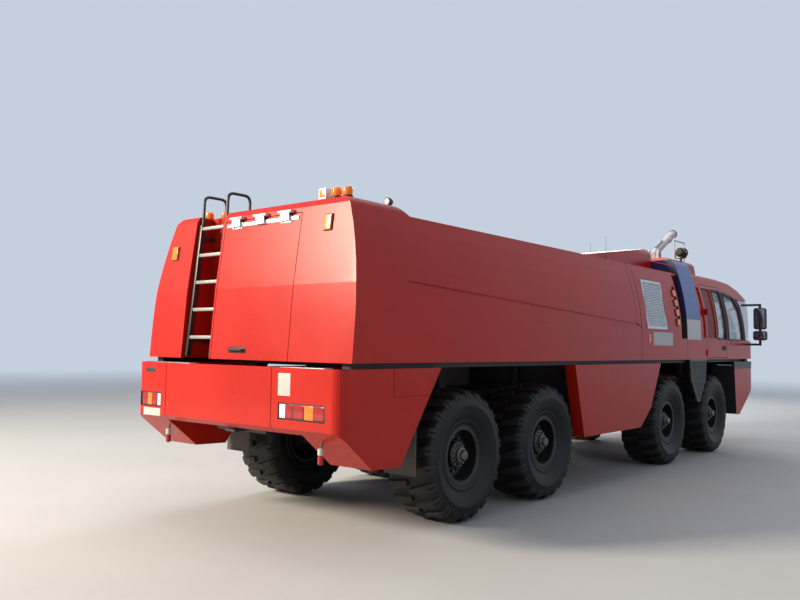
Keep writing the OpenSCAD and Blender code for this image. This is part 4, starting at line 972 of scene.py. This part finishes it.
def swelled(name, lo, hi, crown):
    """Pad grown from a box: remeshed, blown up as cloth, then pulled in along its sewn channels."""
    inset = Vector((0.012, 0.012, 0.012))
    o = linked(name, mesh_of(name, *box(lo + inset, hi - inset, 0.035, 4)))
    bpy.context.view_layer.objects.active = o
    m = o.modifiers.new("remesh", "REMESH")
    m.mode = "VOXEL"
    m.voxel_size = 0.012
    bpy.ops.object.select_all(action="DESELECT")
    o.select_set(True)
    bpy.ops.object.modifier_apply(modifier=m.name)
    start = [v.co.copy() for v in o.data.vertices]
    new = blown_up(o)
    mid = (lo + hi) / 2
    half = (hi - lo) / 2
    up, run = (2, 0) if half.z < half.x else (0, 2)
    for v, a, b in zip(o.data.vertices, start, new):
        step = b - a
        if step.length > crown:
            step *= crown / step.length
        p = a + step
        u = [(p[k] - mid[k]) / half[k] for k in range(3)]
        if u[up] > 0.3:
            lines, deep, half_w = SEAMS_WIDE
            dip = sum(deep * exp(-((u[1] - line) / half_w) ** 2) for line in lines)
            if abs(u[1]) < 0.42:
                lines, deep, half_w = SEAMS_ALONG
                dip += sum(deep * exp(-((u[run] - line) / half_w) ** 2) for line in lines)
            p[up] -= dip
        for k in range(3):
            p[k] = min(max(p[k], lo[k] + 0.0004), hi[k] - 0.0004)
        v.co = p
    o.data.materials.append(M["seat"])
    o.data.polygons.foreach_set("use_smooth", [True] * len(o.data.polygons))
    sub = o.modifiers.new("smooth", "SUBSURF")
    sub.levels = sub.render_levels = 1
    bpy.ops.object.modifier_apply(modifier=sub.name)
    return seat_pad(o)


def copied(source, name, dy):
    me = source.data.copy()
    me.transform(Matrix.Translation((0, dy, 0)))
    return seat_pad(linked(name, me))


pads = []
# Each pad: name, stations, half breadth, heights, crown
for name, x0, x1, w, z0, z1, crown in (("seat_cushion", 0.125, 0.615, 0.25, 0.29, 0.415, 0.02),
        ("seat_back", 0.005, 0.115, 0.24, 0.43, 0.90, 0.02),
        ("head_rest", 0.01, 0.105, 0.13, 0.915, 1.045, 0.015)):
    lo = spot(SEAT_X + x0, SEAT_YS[0] - w, SEAT_Z + z0)
    hi = spot(SEAT_X + x1, SEAT_YS[0] + w, SEAT_Z + z1)
    pads.append((name, swelled(f"{name}_1", lo, hi, crown)))
for k, y in enumerate(SEAT_YS[1:], 2):
    for name, pad in pads:
        copied(pad, f"{name}_{k}", y - SEAT_YS[0])
p = Piece("seat_frames", "black_plastic")
x, z = SEAT_X, SEAT_Z
for y in SEAT_YS:
    p.add(block(x + 0.17, x + 0.56, y - 0.19, y + 0.19, z + 0.001, z + 0.12, 0.015), "plastic")
    p.add(block(x + 0.14, x + 0.60, y - 0.23, y + 0.23, z + 0.115, z + 0.292, 0.02), "plastic")
    p.add(prism([(x + 0.004, z + 0.20), (x + 0.145, z + 0.20), (x + 0.115, z + 0.44),
        (x + 0.004, z + 0.44)], y - 0.21, y + 0.21, 0.01), "plastic")
    for dy in (-0.07, 0.07):
        p.add(rod(spot(x + 0.05, y + dy, z + 0.88), spot(x + 0.05, y + dy, z + 0.95), 0.006), "steel")
p.done("seats")

p = Piece("steering_wheel", "black_plastic")
at = stand(NOSE - 0.90, SEAT_YS[2], SEAT_Z + 0.50, radians(-40))
p.add(tube([(u, v, 0) for u, v in circle(48, 0.225)], 0.014, 10, closed=True), "plastic", at)
for u, v in circle(3, 0.215, 0.75):
    p.add(rod((0, 0, -0.03), (u, v, 0), 0.014, 10, r1=0.010), "plastic", at)
p.add(lathe([(0, -0.05), (0.05, -0.045), (0.065, -0.02), (0.05, -0.005), (0, 0.0)], 32), "plastic", at)
p.add(rod((0, 0, -0.34), (0, 0, -0.04), 0.033, 20), "plastic", at)
x = NOSE - 0.85
for y, w in ((0.75, 0.26), (0.0, 0.34), (-0.75, 0.24)):
    p.add(prism([(x + 0.03, z + 0.246), (x + 0.30, z + 0.278), (x + 0.27, z + 0.37), (x + 0.10, z + 0.36)],
        y - w, y + w, 0.012), "plastic")
    for i in range(4):
        at = stand(x + 0.062, y - w + (2 * w) * (i + 0.5) / 4, z + 0.302, radians(-58))
        p.add(ring([(0.030, 0.0), (0.036, 0.002), (0.036, 0.010), (0.030, 0.008)], 28), "steel", at)
        p.add(lathe([(0, 0.004), (0.031, 0.004), (0.031, 0.0), (0, 0.0)], 28), "inside", at)
p.done()

# Underbody: spring clamps, dampers, brake chambers and air reservoirs
p = Piece("running_gear", "chassis_paint")
SPRING_Y, BEAM_TOP = 0.405, TYRE_R + 0.085
TANK_Y, TANK_Z, TANK_R, TANK_L = 0.62, 1.16, 0.13, 0.6
for x in AXLES:
    for s in (-1, 1):
        y = s * SPRING_Y
        for dx in (-0.095, 0.095):
            for dy in (-0.050, 0.050):
                for z0, z1, r, n in ((TYRE_R - 0.105, BEAM_TOP + 0.105, 0.010, 10),
                        (TYRE_R - 0.108, TYRE_R - 0.090, 0.017, 6)):
                    p.add(rod(spot(x + dx, y + dy, z0), spot(x + dx, y + dy, z1), r, n), "cast")
        for z0, z1 in ((BEAM_TOP + 0.081, BEAM_TOP + 0.104), (TYRE_R - 0.112, TYRE_R - 0.084)):
            p.add(block(x - 0.12, x + 0.12, y - 0.065, y + 0.065, z0, z1, 0.005), "cast")
        # Damper from the beam to the rail
        low, high = spot(x + 0.14, s * 0.52, TYRE_R + 0.02), spot(x + 0.24, s * 0.475, 1.18)
        mid = low.lerp(high, 0.55)
        p.add(rod(low, mid, 0.034, 18, 0.004), "cast")
        p.add(rod(mid, high, 0.044, 18, 0.004), "black")
        # Brake chamber behind the beam
        c = spot(x - 0.13, s * 0.66, TYRE_R + 0.10)
        p.add(rod(c, c + Vector((-0.15, 0, 0.03)), 0.078, 24, 0.012), "cast")
        p.add(rod(c + Vector((-0.06, 0, 0.012)), c + Vector((-0.085, 0, 0.017)), 0.086, 24, 0.004), "steel")
for x in (5.15, 5.85):
    for s in (-1, 1):
        y, z, r = s * TANK_Y, TANK_Z, TANK_R
        p.add(rod(spot(x, y, z), spot(x + TANK_L, y, z), r, 28, 0.03), "black")
        for dx in (0.12, 0.46):
            p.add(ring([(r - 0.001, -0.02), (r + 0.006, -0.02), (r + 0.006, 0.02), (r - 0.001, 0.02)], 28),
                "steel", stand(x + dx, y, z, pi / 2))
            p.add(block(x + dx - 0.02, x + dx + 0.02, s * 0.45, s * 0.50, 1.10, 1.22, 0.003), "cast")
# Marker stalks under the rear corners
for y in (1.06, -1.18):
    p.add(tube(spots((0.16, y, 1.0), (0.12, y, 0.93), (0.11, y, 0.80)), 0.010, 8), "flap")
    p.add(rod(spot(0.11, y, 0.84), spot(0.11, y, 0.90), 0.028, 16, 0.006), "white")
    p.add(rod(spot(0.11, y, 0.76), spot(0.11, y, 0.84), 0.026, 16, 0.008), "red_lens")
p.done()

# Camera from the photograph's viewpoint
CAMERA_AT = Vector((-10.8584, -6.0918, 1.8002))
YAW, PITCH, ROLL = radians(39.4667), radians(3.2838), radians(0.8496)
LENS = 35.68
forward = Vector((cos(PITCH) * cos(YAW), cos(PITCH) * sin(YAW), sin(PITCH)))
level = forward.cross(Vector((0, 0, 1))).normalized()
above = level.cross(forward)
right_axis = level * cos(ROLL) + above * sin(ROLL)
up_axis = above * cos(ROLL) - level * sin(ROLL)
camera_data = bpy.data.cameras.new("camera")
camera_data.lens = LENS
camera_data.sensor_width = 36
camera_data.clip_end = 500
camera = linked("camera", camera_data)
turn = Matrix((right_axis, up_axis, -forward)).transposed().to_4x4()
camera.matrix_world = Matrix.Translation(CAMERA_AT) @ turn
scene.camera = camera

# Pale floor, sky-like fill and four soft lamps
FLOOR = 80
BACKDROP = (0.56, 0.63, 0.73)
FADE_FROM, FADE_TO = 11, 46


def seen_directly(tree):
    """1 for rays from the camera, off metal and through glass, 0 for the light that falls on things."""
    path = make(tree, "LightPath").outputs
    total = path["Is Camera Ray"]
    for name in ("Is Glossy Ray", "Is Transmission Ray"):
        total = maths(tree, "MAXIMUM", total, path[name])
    return total


def mixed(tree, share, a, b, output):
    """Shader a where share is 0 and shader b where it is 1, led to the output node."""
    mix = make(tree, "MixShader", Fac=share)
    tree.links.new(a, mix.inputs[1])
    tree.links.new(b, mix.inputs[2])
    feed(tree, tree.nodes[output], Surface=mix.outputs["Shader"])


def fade_floor(tree):
    """Far from the truck the floor takes the backdrop's colour, so that no horizon line shows."""
    far = make(tree, "VectorMath")
    far.operation = "LENGTH"
    tree.links.new(make(tree, "TexCoord").outputs["Object"], far.inputs[0])
    ease = make(tree, "MapRange", Value=far.outputs["Value"], From_Min=FADE_FROM, From_Max=FADE_TO)
    ease.interpolation_type = "SMOOTHSTEP"
    glow = make(tree, "Emission", Color=(*BACKDROP, 1))
    mixed(tree, maths(tree, "MULTIPLY", ease.outputs["Result"], seen_directly(tree)),
        tree.nodes["Principled BSDF"].outputs["BSDF"], glow.outputs["Emission"], "Material Output")


corners = [(-FLOOR, -FLOOR, 0), (FLOOR, -FLOOR, 0), (FLOOR, FLOOR, 0), (-FLOOR, FLOOR, 0)]
floor = linked("floor", mesh_of("floor", corners, [(0, 1, 2, 3)]))
finish = material("floor_finish", (0.50, 0.50, 0.495), 0.8, 0.05, 0.5, 0.0008, bump_scale=30)
fade_floor(finish.node_tree)
floor.data.materials.append(finish)

world = bpy.data.worlds.new("studio")
scene.world = world
world.use_nodes = True
tree = world.node_tree
light = feed(tree, tree.nodes["Background"], Color=(0.78, 0.86, 1.0, 1), Strength=0.38)
shown = make(tree, "Background", Color=(*BACKDROP, 1))
mixed(tree, seen_directly(tree), light.outputs["Background"], shown.outputs["Background"], "World Output")


def lamp_at(name, place, aim, size, watts, colour):
    data = bpy.data.lights.new(name, "AREA")
    data.size = size
    data.energy = watts
    data.color = colour
    o = linked(name, data)
    o.location = place
    o.rotation_euler = (Vector(aim) - Vector(place)).to_track_quat("-Z", "Y").to_euler()


lamp_at("key", (-19, 9, 9), (-6, 0, 1.6), 4, 6200, (1.0, 0.88, 0.70))
lamp_at("fill", (-2, -18, 8), (1, 0, 1.5), 12, 230, (0.86, 0.90, 1.0))
lamp_at("front", (17, 8, 9), (3, 0, 1.5), 8, 1300, (1.0, 1.0, 1.0))
lamp_at("top", (0, 3, 14), (0, 1, 0), 12, 700, (1.0, 1.0, 1.0))
scene.view_settings.view_transform = "Standard"
